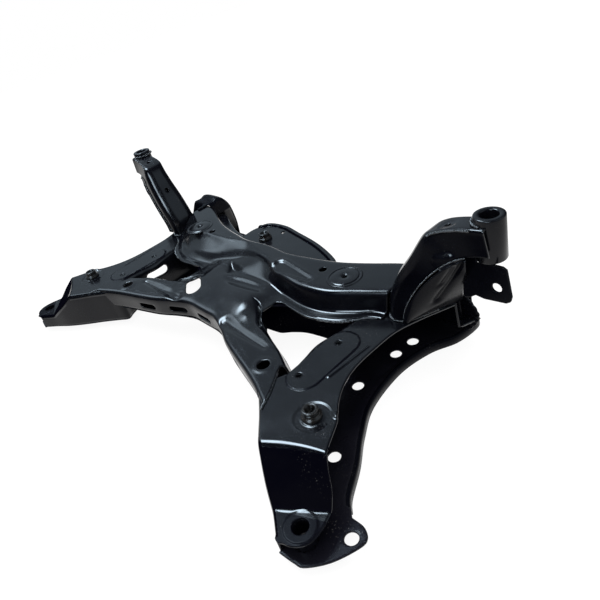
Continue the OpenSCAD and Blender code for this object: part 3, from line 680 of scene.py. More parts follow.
# %% Tray
TRAY_FRONT = [(0, 116), (98, 125), (118, 138), (140, 149), (173, 156), (214, 162), (256, 178)]
TRAY_HALF = TRAY_FRONT[-1][0]
x = np.linspace(-TRAY_HALF, TRAY_HALF, 205)
a = np.abs(x)
hub = 1 - ramp(a, HUB_NEAR, HUB_FAR)
w, e, b = keyed(TRAY_FRONT, a), keyed(FLANGE_EDGE, a), keyed(BOX_BACK, a)
g = mix(keyed(FLANGE_ROOT, a), w + 8, hub)
section = [(np.minimum(e, w - 8) + 2, DECK_Z), (g - 6, DECK_Z), (g, DECK_Z - 3), (w + 10, SEAT_Z + 4),
           (w + 16, SEAT_Z), (b - 8, SEAT_Z), (b - 2, SEAT_Z + 4), (b + 5, DECK_Z - 3), (b + 10, DECK_Z),
           (b + 22, DECK_Z)]
tray = loft([row(x, y, z) for y, z in section], [6, 2, 16, 2, 22, 2, 16, 2, 4])
# The tray takes the darkest copy of the paint all over: painted shade.
piece("crossmember_lower_skin", [sheet(tray)], inner_painted_shade, ["crossmember_lower"])

# %% [markdown]
# ## The arms
# Each arm is a deck with a deep inner wall. Beyond the collar nut it cranks down to a flat end that
# bolts to the body. The deck carries an oblong pad with two holes, a round dish for the nut and a ring
# round the end hole. A loft between the inner and outer edges follows the plan.

# %% Arm deck
BEND_DIR, ACROSS_DIR = np.array([0.43, -0.9]), np.array([0.9, 0.43])
SLOPE_FROM, SLOPE_BOW, SLOPE_TO, SLOPE_SKEW = 45, 0.0022, 101, 0.16
CREASE = 0.07  # half width of the creases, as a share of the slope's length


def arm_z(p):
    across = (p - NUT) @ ACROSS_DIR
    start = SLOPE_FROM + SLOPE_BOW * (across + 10) ** 2
    stop = SLOPE_TO - SLOPE_SKEW * np.clip(across, -40, 60)
    u = ((p - NUT) @ BEND_DIR - start) / (stop - start)
    soft = sum(np.clip(u + CREASE * k / 6, 0, 1) for k in range(-6, 7)) / 13
    return mix(DECK_Z, END_Z, soft)


def on_deck(plan, drop=0.0):
    return at_height(plan, arm_z(plan) - drop)


u = np.concatenate([np.linspace(0, 0.5, 151), np.linspace(0.5, 0.86, 221)[1:], np.linspace(0.86, 1, 41)[1:]])
p, q = along(ARM_INNER, u), along(ARM_OUTER, u)
r = np.minimum(BEND, np.linalg.norm(q - p, axis=1) / 4)
d = r[:, None] * unit(q - p)
DECK_STEPS = [14, 2, 3, 24, 26, 2]
deck = loft([at_height(p, SEAT_Z), on_deck(p, r), on_deck(p + 0.3 * d, 0.3 * r), on_deck(p + d),
             on_deck(mix(p, q, 0.5)), on_deck(q - 0.5 * d), on_deck(q, 0.6)], DECK_STEPS)
TOP = sum(DECK_STEPS[:3])
deck[:, TOP:-1, 2] = arm_z(deck[:, TOP:-1, :2])
print("deck grid", deck.shape)

# %% Press the pad, the nut's dish and the rings
PAD, PAD_L, PAD_W, PAD_TURN = np.array([287.0, 82.0]), 128.0, 52.0, math.radians(-2)
PAD_HOLES = [PAD + (-6, -3 + s * 39) for s in (-1, 1)]
PAD_HALF = np.array([math.sin(PAD_TURN), math.cos(PAD_TURN)]) * (PAD_L - PAD_W) / 2
PAD_SHAPE = PAD - PAD_HALF, PAD + PAD_HALF, PAD_W / 2, PAD_W / 2
NUT_HOLE_R, COLLAR_R, END_HOLE_R = 6.5, 5.8, 10.6
TIP_NOTCH, TIP_NOTCH_R = ARM_END + (4, -37), 13
WINDOW = (84, 61), (118, 61), 9, 9
px, py = deck[..., 0], deck[..., 1]
lift = sum(pressed(*dent) for dent in [
    (capsule(px, py, *PAD_SHAPE), 1.0, 1.4),  # oblong pad
    (capsule(px, py, (317, 62), (323, 136), 2.5, 1.0), 1.3, 4),  # rib beside it
    (np.maximum(hole(px, py, NUT, 24), -hole(px, py, NUT, 15)), -1.0, 2.2, 0.1),  # the nut's dish
    (hole(px, py, ARM_END, 20), 0.6, 2.0),  # ring round the end hole
    (capsule(px, py, (371, 20), (376, 17), 2.5, 2.5), 2.2, 5)])  # small lug
deck[..., 2] += lift * upward(deck)


def keep_deck(v):
    x, y, z = v.T
    cuts = [hole(x, y, NUT, NUT_HOLE_R), hole(x, y, TIP_NOTCH, TIP_NOTCH_R),
            np.where(z > SEAT_Z + 12, hole(x, y, ARM_END, END_HOLE_R), NO_CUT),
            np.where(x < 272, capsule(y, z, *WINDOW), NO_CUT)]
    return np.min(cuts + [hole(x, y, h, COLLAR_R) for h in PAD_HOLES], axis=0)


deck_skin = sheet(deck, keep_deck)
print("deck sheet of", len(deck_skin[1]), "faces")

# %% [markdown]
# ## The lower plates
# Below each deck lies a flat plate with a turned-down rim on its outer side and a tab behind for a bolt.
# The rim is a second patch that starts flat inside the edge and rolls down over a small radius.
# A lobe on the plate's inner side closes the view down through the opening, as in the photograph.

# %% Lower plate outline, holes and rim
LOWER_FRONT = 348.0
LOWER_OUTER = [(352, LOWER_FRONT), (366, 326), (361, 280), (340, 237), (330, 178), (341, 106), (367, 57),
               *(NUT + [(46, 16), (68, -22), (81, -36)])]
REAR_TAB = ARM_END + [(22, 53), (41, 53), (53, 45), (53, 31), (40, 0), (21, -23), (8, -27), (-16, -30)]
DRAIN_HOLES = [((310, 235), 9.5), ((306, 199), 9.5), ((303, 116), 9.5), ((364, 4), 9.5)]
LOWER_HOLES = DRAIN_HOLES + [(ARM_END + (39, 34), 9.0), (ARM_END, 10.5)]
RIM_END, RIM_R, RIM_OVERLAP, RIM_LOW = -38.0, 5, 0.4, 0.6
LOBE = 18
run = along(LOWER_OUTER, np.linspace(0, 1, 161))
tab = along(REAR_TAB, np.linspace(0, 1, 57))
inner = along(ARM_INNER, np.linspace(0, 1, 97))
inner[:, 0] -= LOBE * ramp(inner[:, 1], 100, 130) * ramp(-inner[:, 1], -215, -190)
lower_plan = np.concatenate([run, tab, inner[::-1], [(inner[0][0], LOWER_FRONT)]])


def keep_lower(v):
    x, y = v[:, 0], v[:, 1]
    beside_rim = np.where(y > RIM_END, line_distance(x, y, run) - RIM_R - RIM_OVERLAP, NO_CUT)
    cuts = [inside_distance(x, y, lower_plan) - INSET, beside_rim]
    return np.min(cuts + [hole(x, y, at, radius) for at, radius in LOWER_HOLES], axis=0)


# The turned rim takes the dark wall copy: painted shade.
def rim_band(mid, facing):
    x, y = np.abs(mid[:, 0]), mid[:, 1]
    return (line_distance(x, y, run) < RIM_R + 0.6) & (y > RIM_END)


gx, gy = plate_grid(230, 475, -130, 350, 3.0)
dent = sum(pressed(np.abs(hole(gx, gy, at, radius) - 5) - 1.5, -0.9, 3) for at, radius in DRAIN_HOLES)
dent += pressed(capsule(gx, gy, (318, 150), (322, 190), 5, 3), -1.5, 6)
plate = grid_patch(row(gx, gy, LOWER_Z + dent), keep_lower)
rim = turned_rim(run, RIM_R, RIM_OVERLAP, LOWER_Z, RIM_LOW)
print("rim side check", np.round(face_normals(*rim).mean(axis=0), 2))
# The plate takes the lighter plate copy, painted light in place of the reflection under the deck.
pair("arm_lower", [shell(plate), shell(rim)], plate_painted_light, lit_and_shaded_coats=[(wall_painted_shade, rim_band)])

# %% [markdown]
# ## The towers
# A tower is a channel that leans outwards from the box up to a tube, with a rounded crown and two walls.
# An outer pressing, shaped like a lens and folded, closes the foot of its open side. Both are lofted
# from the same side-view curves, so the seam between them stays even. Blind nuts sit behind the holes.

# %% Tower channel
TOWER_TOP = TUBE_TOP - 12.0
CROWN = [(BOX_HALF + 2, DECK_Z + GAP), (BOX_HALF + 7, BOX_Z), (325, BOX_Z + 38), (348, BOX_Z + 71),
         (369, TOWER_TOP - 17), (387, TOWER_TOP - 7), (416, TOWER_TOP), (452, TOWER_TOP + 4)]
EDGE = [(330, DECK_Z + GAP), (340, 112), (357, 142), (378, 170), (402, 193), (420, 203), (438, 207), (458, 209)]
TOWER_NEAR, TOWER_FAR = TUBE[1] - 19 - 29, TUBE[1] - 19 + 29
TOWER_HOLE, SLOPE_HOLE, CLIP_R = (398.0, TUBE[1] - 14), (TUBE[1] - 22, 180.0), 4.5
WALL_STEPS = 14


def near_face(u):
    return mix(TOWER_NEAR - 6, TUBE[1] - TUBE_R - 2 * GAP - 2 * SHEET, ramp(u, 0.2, 1))


def tower_lines(u):
    u = np.asarray(u, float)
    c, e = along(CROWN, u), along(EDGE, u)
    r = BEND * mix(2.0, 0.5, ramp(u, 0.5, 0.72))
    near, far = near_face(u), mix(TOWER_FAR - 6, TOWER_FAR, u)
    d = unit(e - c)
    s, q = c + r[:, None] * d, c + 0.3 * r[:, None] * d
    return [row(p[:, 0], y, p[:, 1]) for p, y in (
        (e, near + 4 * (1 - u)), (s, near), (q, near + 0.3 * r), (c, near + r),
        (c, far - r), (q, far - 0.3 * r), (s, far), (e, far - 2))]


def keep_tower(v):
    x, y, z = v.T
    return np.min([np.where(z > TUBE_TOP - TUBE_L, hole(x, y, TUBE, TUBE_R + 0.8), NO_CUT),
                   np.where(z > 205, hole(x, y, TOWER_HOLE, CLIP_R), NO_CUT),
                   np.where(x < 372, hole(y, z, SLOPE_HOLE, CLIP_R), NO_CUT)], axis=0)


tower = loft(tower_lines(np.linspace(0, 1, 121)), [WALL_STEPS, 3, 3, 12, 3, 3, WALL_STEPS], 1)
tower[..., 2] += pressed(hole(tower[..., 0], tower[..., 1], TOWER_HOLE, 10), -1.2, 4) * upward(tower)
moon = pressed(capsule(tower[..., 0], tower[..., 2], (396, 198), (411, 203), 6, 5), 1.8, 6)
tower[:, :WALL_STEPS, 1] -= moon[:, :WALL_STEPS]
print("tower grid", tower.shape)

# %% Blind nuts and the towers' paint
NUT_CUP = [(0.01, 0), (7.4, 0), (8.0, 0.6), (8.0, 7.4), (7.4, 8.0), (4.6, 8.0), (4.2, 7.4), (4.2, 2.4),
           (3.6, 2.0), (0.01, 2.0)]


def blind_nut(at, axis):
    verts, faces = spun(NUT_CUP, (0, 0), -8.0, 40)
    z = unit(axis)
    x = unit(np.cross([0.0, 1.0, 0.0], z))
    return verts @ np.stack([x, np.cross(z, x), z]) + at, faces


# Faces of the near wall that look forward and down take the dark wall copy: painted shade.
def near_wall(mid, facing):
    return facing @ unit([0.0, -0.9, -0.3]) > 0.62


nuts = [blind_nut((*TOWER_HOLE, TOWER_TOP - 7.2), (-0.2, 0.0, 1.0)),
        blind_nut((344.5, SLOPE_HOLE[0], 178.0), (-0.8, 0.0, 0.6))]
# The channel takes the slightly darker, duller tower copy: painted shade.
pair("tower_inner", [sheet(tower, keep_tower)] + nuts, tower_painted_shade, lit_and_shaded_coats=[(wall_painted_shade, near_wall)])

# %% Folded outer pressing
OUTER_LOW = [(336, 206), (344, 221), (353, 240), (362, 260), (372, 282)]
BELLY, FOLD_DEPTH, SHORT_DEPTH, SWELL = 16, 3.4, 1.5, 2.2
t, v = np.meshgrid(np.linspace(1, 0, 141), np.linspace(0, 1, 73), indexing="ij")
low = along(OUTER_LOW, t)
up = mix(0.06, 0.78, t)
e = along(EDGE, up)
seam = near_face(up) + 4 * (1 - up) - GAP
belly = BELLY * v * (1 - v)
fold = capsule(t, v, (0.96, 0.97), (0.60, 0.44), 0.004, 0.03)
short = capsule(t, v, (0.82, 0.96), (0.68, 0.78), 0.01, 0.02)
groove = -FOLD_DEPTH * np.exp(-(fold / 0.06) ** 2) - SHORT_DEPTH * np.exp(-(short / 0.04) ** 2)
groove += SWELL * ramp(t - 0.7 * v, -0.25, 0.55) * ramp(v, 0, 0.3) * ramp(1 - v, 0, 0.3)
groove *= ramp(t, 0, 0.1) * ramp(1 - t, 0, 0.05)
outer = row(mix(low[..., 0], e[..., 0] + 3, v) + belly + groove, mix(low[..., 1], seam, v) - belly - groove,
            mix(FLANGE_Z, e[..., 1] - SHEET, v))
# The folded outer pressing takes the dark wall copy all over: painted shade.
pair("tower_outer", [sheet(outer)], wall_painted_shade)

# %% [markdown]
# ## Turned parts
# The tubes, sleeves and collar nuts are turned or cold-formed, so a profile spun round an axis gives
# them with their chamfers. The nuts also have a thread, a groove that climbs one pitch per turn:
# the bore's radius simply follows the angle and the height.

# %% Tower tubes
def tube_profile(r_in, r_out, length, k):
    half = [(r_in + k, 0), (r_out - k, 0), (r_out - 0.3 * k, 0.3 * k), (r_out, k), (r_out, length / 2)]
    half += [(r_out, length - k), (r_out - 0.3 * k, length - 0.3 * k), (r_out - k, length)]
    return half + [(r_in + k, length), (r_in + 0.3 * k, length - 0.3 * k), (r_in, length - k),
                   (r_in, length / 2), (r_in, k), (r_in + 0.3 * k, 0.3 * k)]


# The tube's sides take the half dull copy as painted shade, and its top faces the glossy paint.
def top_face(mid, facing):
    return facing[:, 2] > 0.5


tube = spun(tube_profile(TUBE_BORE_R, TUBE_R, TUBE_L, 1.6), TUBE, TUBE_TOP - TUBE_L)
pair("tower_tube", [tube], flank_painted_shade, lit_and_shaded_coats=[(black_paint, top_face)])

# %% Collar nuts with threads
THREAD = 1.75
bore = [(6.0, z) for z in np.arange(12.6, 2.6, -THREAD / 6)]
collar = [(7.5, 0), (13.0, 0), (13.5, 0.6), (13.5, 3.6), (12.9, 4.6), (11.6, 5.1), (10.9, 5.8), (10.5, 7.0),
          (10.5, 9.2), (10.0, 9.6), (10.0, 10.2), (10.5, 10.6), (10.5, 12.8), (10.1, 13.6), (9.4, 14.0),
          (7.4, 14.0), (6.7, 13.4)]
nut_profile = collar + bore + [(7.5, 1.9)]
bore_rows = range(len(collar), len(collar) + len(bore))


def collar_nut(at, z):
    return spun(nut_profile, at, z, 72, THREAD, bore_rows)


pair("collar_nut", [collar_nut(NUT, DECK_Z)], nut_paint)

# %% Tapped collars under the deck pads and the sleeve in the arm end
PAD_THREAD, PAD_THREAD_DEPTH, COLLAR_Z = 1.25, 0.4, DECK_Z - SHEET - 8
neck = [(4.6, 0), (8.4, 0), (9.0, 0.6), (9.0, 9.0), (8.6, 9.4), (5.2, 9.4), (5.2, 12.0), (4.9, 12.4), (4.6, 12.4)]
pad_bore = [(4.0, z) for z in np.arange(11.8, 0.7, -PAD_THREAD / 6)]
pad_rows = range(len(neck), len(neck) + len(pad_bore))
collars = [spun(neck + pad_bore, h, COLLAR_Z, 48, PAD_THREAD, pad_rows, PAD_THREAD_DEPTH) for h in PAD_HOLES]
sleeve = spun(tube_profile(10.0, 15.5, END_Z - SHEET - SEAT_Z, 0.8), ARM_END, SEAT_Z)
print("thread of the collars climbs", PAD_THREAD, "mm per turn")

# %% [markdown]
# ## The deck's coats
# The cranked slope of an arm looks away from the light, and at a flat angle it would mirror the floor.
# So the slope and the sleeve's bore get the darkest copy of the paint, the flat end and the pad's edge a
# dark one with little gleam, and the inner wall a half dull one, all of it painted shade. The creases
# keep the gloss, and each shows as one bright line.

# %% Coat and enter the decks
SLOPE_MIN, SLOPE_MAX, LOWER_CREASE_MAX = 0.4, 0.82, 0.93
AT_SLOPE, AT_LOWER_CREASE, AT_END = 40, 75, 106  # distances from the nut, along the arm


def past_nut(mid):
    return (np.stack([np.abs(mid[:, 0]), mid[:, 1]], axis=1) - NUT) @ BEND_DIR


def deck_wall(mid, facing):
    return (np.abs(facing[:, 2]) < 0.2) & (mid[:, 2] < DECK_Z - BEND)


def slope_and_bore(mid, facing):
    away, up = past_nut(mid), facing[:, 2]
    steep = np.where(away > AT_LOWER_CREASE, LOWER_CREASE_MAX, SLOPE_MAX)
    in_bore = hole(np.abs(mid[:, 0]), mid[:, 1], ARM_END, END_HOLE_R + 0.3) < 0
    return ((up > SLOPE_MIN) & (up < steep) & (away > AT_SLOPE)) | in_bore


def end_flat(mid, facing):
    return (facing[:, 2] > 0.9) & (past_nut(mid) > AT_END)


def pad_edge(mid, facing):
    edge = capsule(np.abs(mid[:, 0]), mid[:, 1], *PAD_SHAPE)
    return (np.abs(edge) < 1.5) & (facing[:, 2] > SLOPE_MIN)


# Painted shade: the inner wall, the slope, the bore, the flat end and the pad's edge take darker copies.
pair("arm_deck", [deck_skin, sleeve] + collars, black_paint, also=("arm_wall",),
     lit_and_shaded_coats=[(flank_painted_shade, deck_wall), (inner_painted_shade, slope_and_bore), (wall_painted_shade, end_flat),
            (wall_painted_shade, pad_edge)])

# %% [markdown]
# ## The front bracket
# Beyond the box, towards the front of the car, sits a thin bracket with a nut, a small hole and a lip
# that is turned down round its outer edge. A raised border beside the lip stiffens it, and the inner
# slope of that border takes the darkest copy of the paint, painted shade that draws it as a dark line.
# The lip is rolled like the lower plate's rim.

# %% Bracket plate and lip
BRACKET_Z = FLANGE_Z + GAP + SHEET
BRACKET_NUT, BRACKET_HOLE = (-74.0, 272.0), (-58.0, 306.0)
LEFT_X, RIGHT_X = -134.0, 132.0
NOSE = float(keyed(BOX_BACK, 0.0)) + 86.0
BORDER_RISE, BORDER_OUT, BORDER_IN = 3.6, 9, 13
LIP_R, LIP_OVERLAP, LIP_LOW = 4, 0.5, BRACKET_Z - SHEET - 13.5


def back_of_bracket(x):
    return np.stack([x, keyed(BOX_BACK, np.abs(x)) + 8], axis=-1)


start, stop = back_of_bracket(np.array([LEFT_X, RIGHT_X]))
front = along([start + (0, 16), (LEFT_X, NOSE - 28), (-117, NOSE + 2), (-70, NOSE + 9), (-20, NOSE),
               (50, NOSE - 15), (110, NOSE - 36), stop + (2, 20), stop], np.linspace(0, 1, 121))
bracket_plan = np.concatenate([front, back_of_bracket(np.arange(128.0, LEFT_X - 1, -7.0))])
lip_run = front[24:104]


def keep_bracket(v):
    x, y = v[:, 0], v[:, 1]
    return np.min([inside_distance(x, y, bracket_plan) - ROLL, line_distance(x, y, lip_run) - LIP_R - 0.4,
                   hole(x, y, BRACKET_NUT, NUT_HOLE_R), hole(x, y, BRACKET_HOLE, CLIP_R)], axis=0)


# The border's inner slope takes the darkest copy: painted shade.
def border_slope(mid, facing):
    inside = line_distance(mid[:, 0], mid[:, 1], lip_run) > BORDER_OUT - 1
    return (facing[:, 2] > 0.4) & (facing[:, 2] < 0.93) & inside


gx, gy = plate_grid(-140, 138, 232, 332, 1.25)
border = BORDER_RISE * (1 - ramp(line_distance(gx, gy, lip_run), BORDER_OUT, BORDER_IN))
plate = grid_patch(row(gx, gy, BRACKET_Z + border), keep_bracket)
lip = turned_rim(lip_run, LIP_R, LIP_OVERLAP, BRACKET_Z + BORDER_RISE, LIP_LOW)
print("lip side check", np.round(face_normals(*lip).mean(axis=0), 2))
piece("front_bracket_skin", [shell(plate), shell(lip)], black_paint, ["front_bracket"],
      lit_and_shaded_coats=[(inner_painted_shade, border_slope)])
piece("bracket_nut_skin", [collar_nut(BRACKET_NUT, BRACKET_Z)], nut_paint, ["bracket_nut"])

# %% [markdown]
# ## Ears, side tabs and pocket ends
# Small plates finish the frame: a curved ear at each end of the box, a tab with a hole beside each
# tube, and a plate that closes the front of each arm's pocket. Flat plates are trimmed from a grid in
# their own plane, and the ear is a strip that follows its side view and swells a little across.
# The ears, side tabs and pocket ends take the dark wall copy of the paint, which is painted shade.

# %% Ears
EAR_SEAT = BOX_Z + GAP + SHEET
EAR = [(-32, EAR_SEAT), (-14, EAR_SEAT), (4, EAR_SEAT + 2), (18, BOX_Z + 10), (36, BOX_Z - 2), (48, BOX_Z - 26),
       (52, 58), (50, 34), (47, LOWER_Z + GAP)]
EAR_Y, EAR_X, EAR_ROLL, EAR_W = LOWER_FRONT - 54, BOX_HALF - 16, 9.0, 62
EAR_SAG, EAR_DROOP = 5.0, 30
s = np.linspace(0, 1, 97)
line = along(EAR, s) + (EAR_Y, 0)
normal = unit(np.gradient(line, axis=0))
normal = np.stack([-normal[:, 1], normal[:, 0]], axis=1)
width = np.linspace(EAR_ROLL, EAR_W, 33)
sag = -EAR_SAG * np.abs(2 * width / EAR_W - 1) ** 4
curl = ramp(s, 0.12, 0.35) * ramp(1 - s, 0.02, 0.3)
droop = EAR_DROOP * ramp(width, 14, 30)[:, None] * ramp(EAR_Y - line[None, :, 0], 6, 32)
ear = row(EAR_X + width[:, None], line[None, :, 0] + normal[None, :, 0] * sag[:, None] * curl,
          line[None, :, 1] + normal[None, :, 1] * sag[:, None] * curl - droop)
print("ear side check", np.round(face_normals(*grid_patch(ear)).mean(axis=0), 2))

# %% The ear's closed cheek
CHEEK_MID = np.array([EAR_Y + 2, FLANGE_Z + 6])
edge = ear[0][(ear[0, :, 1] > EAR_Y - 9) & (ear[0, :, 2] > FLANGE_Z + 5)]
inward = CHEEK_MID - edge[:, 1:]
depth = np.linalg.norm(inward, axis=1)[:, None] * np.linspace(0, 0.97, 25) ** 1.5
fall = np.clip(1 - depth / EAR_ROLL, 0, 1)
cheek = np.concatenate([(EAR_X + EAR_ROLL * (1 - np.sqrt(1 - fall ** 2)) + 0.3)[..., None],
                        edge[:, None, 1:] + depth[..., None] * unit(inward)[:, None]], axis=-1)
if face_normals(*grid_patch(cheek))[:, 0].mean() > 0:
    cheek = cheek[::-1]
pair("front_ear", [sheet(ear), shell(grid_patch(cheek), SHEET - 1)], wall_painted_shade)

# %% Side tabs
TAB_Y, TAB_TOP = TUBE[1] - TUBE_BORE_R - 1 - SHEET, TUBE_TOP - TUBE_L
W, H = 46.0, 52.0
TAB_HOLE, TAB_HOLE_R = (0.58 * W, 0.62 * H), 7
tab_plan = [(11, 0), (W - 10, 0), (W - 5, 3), (W, H - 12), (W - 2, H - 4), (W - 8, H), (8, H + 3), (-4, H + 1),
            (-12, H + 7), (-22, H + 10), (-22, H), (-21, H - 10), (-20, H - 22), (-19, H - 30), (-22, H - 41),
            (-22, -12), (1.5, -12), (1.5, 3)]


def keep_tab(v):
    u, w = v[:, 0] - TUBE[0] + 13, TAB_TOP - GAP - v[:, 2]
    return np.minimum(inside_distance(u, w, tab_plan) - INSET, hole(u, w, TAB_HOLE, TAB_HOLE_R))


gx, gz = plate_grid(TUBE[0] - 42, TUBE[0] + W - 10, TAB_TOP - H - 16, TAB_TOP + 14, 1.5)
pair("side_tab", [sheet(row(gx, TAB_Y, gz), keep_tab)], wall_painted_shade)

# %% Pocket ends
POCKET_X, POCKET_Y, POCKET_HIGH = 262 + SHEET + GAP, 298.0, DECK_Z - SHEET - GAP
h = np.linspace(0, 1, 21)
pocket_plan = np.concatenate([
    [(POCKET_X, SEAT_Z)], np.stack([368 + 20 * np.sin(math.pi * h), mix(SEAT_Z, POCKET_HIGH, h)], 1),
    [(POCKET_X + BEND, POCKET_HIGH), (POCKET_X, POCKET_HIGH - BEND)]])


def keep_pocket(v):
    return inside_distance(v[:, 0], v[:, 2], pocket_plan) - INSET


RIB_DEPTH, RIB_STEP = 2.2, 9
gx, gz = plate_grid(262, 392, 12, 84, 3.0)
ribs = RIB_DEPTH * ramp(gx, 335, 350) * (0.5 - 0.5 * np.cos((gz - SEAT_Z) / RIB_STEP * 2 * math.pi))
pair("pocket_end", [sheet(row(gx, POCKET_Y - ribs, gz), keep_pocket)], wall_painted_shade)

# %% [markdown]
# ## Weld beads
# The pressings are joined by arc welds. A bead is a row of small frozen puddles along a seam, so
# Geometry Nodes suit it: the seam is a curve, points are set along it at one spacing, and a squashed
# ball of metal is put on each with a small random size. The result is realised and kept as plain mesh.

# %% The bead tree
def bead_tree():
    tree = bpy.data.node_groups.new("weld_bead", "GeometryNodeTree")
    face = tree.interface
    face.new_socket("Seam", in_out="INPUT", socket_type="NodeSocketGeometry")
    sizes = {}
    for name, kind, v in (("Bead radius", "Float", 0.0022), ("Bead spacing", "Float", 0.0021),
                          ("Seed", "Int", 7), ("Paint", "Material", weld_paint)):
        s = face.new_socket(name, in_out="INPUT", socket_type="NodeSocket" + kind)
        s.default_value = v
        sizes[name] = s.identifier
    face.new_socket("Beads", in_out="OUTPUT", socket_type="NodeSocketGeometry")
    new = tree.nodes.new
    into, out = new("NodeGroupInput"), new("NodeGroupOutput")
    points = new("GeometryNodeResampleCurve")
    points.mode = "LENGTH"
    ball = new("GeometryNodeMeshIcoSphere")
    ball.inputs["Subdivisions"].default_value = 2
    tangent = new("GeometryNodeInputTangent")
    turn = new("FunctionNodeAlignRotationToVector")
    turn.axis = "X"
    size = new("FunctionNodeRandomValue")
    size.data_type = "FLOAT_VECTOR"
    size.inputs["Min"].default_value = (0.55, 0.85, 0.60)
    size.inputs["Max"].default_value = (0.85, 1.20, 0.85)
    put, real = new("GeometryNodeInstanceOnPoints"), new("GeometryNodeRealizeInstances")
    smooth, dress = new("GeometryNodeSetShadeSmooth"), new("GeometryNodeSetMaterial")
    links = [(into, "Seam", points, "Curve"), (into, "Bead spacing", points, "Length"),
             (into, "Bead radius", ball, "Radius"), (tangent, "Tangent", turn, "Vector"),
             (into, "Seed", size, "Seed"), (points, "Curve", put, "Points"), (ball, "Mesh", put, "Instance"),
             (turn, "Rotation", put, "Rotation"), (size, "Value", put, "Scale"),
             (put, "Instances", real, "Geometry"), (real, "Geometry", smooth, "Geometry"),
             (smooth, "Geometry", dress, "Geometry"), (into, "Paint", dress, "Material"),
             (dress, "Geometry", out, "Beads")]
    for joined in links:
        link(tree, *joined)
    return tree, sizes


beads, bead_sizes = bead_tree()
print("bead tree with", len(beads.nodes), "nodes")

# %% A bead along each seam
def lay_beads(name, seams, radius, spacing, seed):
    curve = bpy.data.curves.new(name + "_seams", "CURVE")
    curve.dimensions = "3D"
    for seam in seams:
        spline = curve.splines.new("POLY")
        spline.points.add(len(seam) - 1)
        for point, at in zip(spline.points, to_frame(seam)):
            point.co = (*at, 1.0)
    holder = add(name + "_seams", curve)
    mod = holder.modifiers.new("beads", "NODES")
    mod.node_group = beads
    for key, v in (("Bead radius", radius), ("Bead spacing", spacing), ("Seed", seed), ("Paint", weld_paint)):
        mod[bead_sizes[key]] = v
    evaluated = holder.evaluated_get(bpy.context.evaluated_depsgraph_get())
    mesh = bpy.data.meshes.new_from_object(evaluated)
    mesh.name = name
    bpy.data.objects.remove(holder)
    enter(name, mesh)


print("seams take", len(bead_sizes), "settings")

# %% Lay the beads
lens_seam = tower_lines(np.linspace(0.05, 0.78, 60))[0] + (1.0, -0.7, -0.7)
foot_ring = np.array([line_at[0] + (0, 0, 0.5) for line_at in tower_lines(np.array([0.004]))[:7]])
lens_foot = at_height(along(OUTER_LOW, np.linspace(0, 0.6, 30)) + (1.0, -1.5), FLANGE_Z - 1.5)
angle = np.radians(np.linspace(100, 262, 50))
tube_ring = row(TUBE[0] + (TUBE_R + 1.1) * np.cos(angle), TUBE[1] + (TUBE_R + 1.1) * np.sin(angle), TOWER_TOP + 4.2)
xs = np.linspace(214, 292, 50)
flange_seam = row(xs, keyed(FLANGE_EDGE, xs) + 0.5, FLANGE_Z - 2.4)
strut_seam = at_height(np.array(STRUT_END[2:]), DECK_Z + 0.8)
top = tower_lines(np.linspace(0.66, 0.93, 40))
plate_seam = (top[2] + top[1]) / 2 + (0, -0.2, 0.6)
seams = [foot_ring, lens_foot, tube_ring, flange_seam, strut_seam, plate_seam]
lay_beads("weld_beads_right", seams, 0.0024, 0.0022, 11)
lay_beads("weld_beads_left", [s * MIRROR for s in seams], 0.0024, 0.0022, 12)
lay_beads("weld_lines_towers", [lens_seam, lens_seam * MIRROR], 0.0015, 0.0013, 14)
xs = np.linspace(-128, 126, 90)
bracket_seam = row(xs, keyed(BOX_BACK, np.abs(xs)) + 8.5, BRACKET_Z - 0.4)
lay_beads("weld_beads_bracket", [bracket_seam], 0.0019, 0.0019, 13)

# %% [markdown]
# ## CAD nodes that stay
# The weld nuts under the round pads and the strip below the rail are right as they are. They only need a
# finish, which goes into their material slots.

# %% Finish for the nodes that stay
# The strip below the rail takes the darkest copy, painted shade; the weld nuts take the nut paint.
for node, material in (("box_pad_nuts", nut_paint), ("rail_lower", inner_painted_shade)):
    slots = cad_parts[node].data.materials
    slots.clear()
    slots.append(material)
print("triangles in all:", sum(pieces.values()))

# %% [markdown]
# ## Floor, light and camera
# The photograph is cut out on white. So the floor and the background show as white to the camera, the
# floor keeps a faint shadow, and the light is soft. Black gloss paint shows mostly what it mirrors, so
# a large tent is hung round the part for reflections only. It is nearly black, with a few soft panels:
# small bright ones high up, which draw the lines along the bends, and wide grey ones at mid height.

# %% White floor and background
FLOOR, FLOOR_Z = 6.0, -0.0006


def white_for_view(tree):
    path = tree.nodes.new("ShaderNodeLightPath")
    either = combine(tree, "MAXIMUM", path, "Is Camera Ray", path, "Is Glossy Ray")
    return combine(tree, "MAXIMUM", either, "Value", path, "Is Transmission Ray")


world = bpy.data.worlds.new("white_room")
bpy.context.scene.world = world
world.use_nodes = True
tree = world.node_tree
sky = tree.nodes["Background"]
sky.inputs["Color"].default_value = (1.0, 1.0, 1.0, 1.0)
link(tree, span(tree, white_for_view(tree), "Value", 0.0, 1.0, 0.75, 1.0), "Result", sky, "Strength")

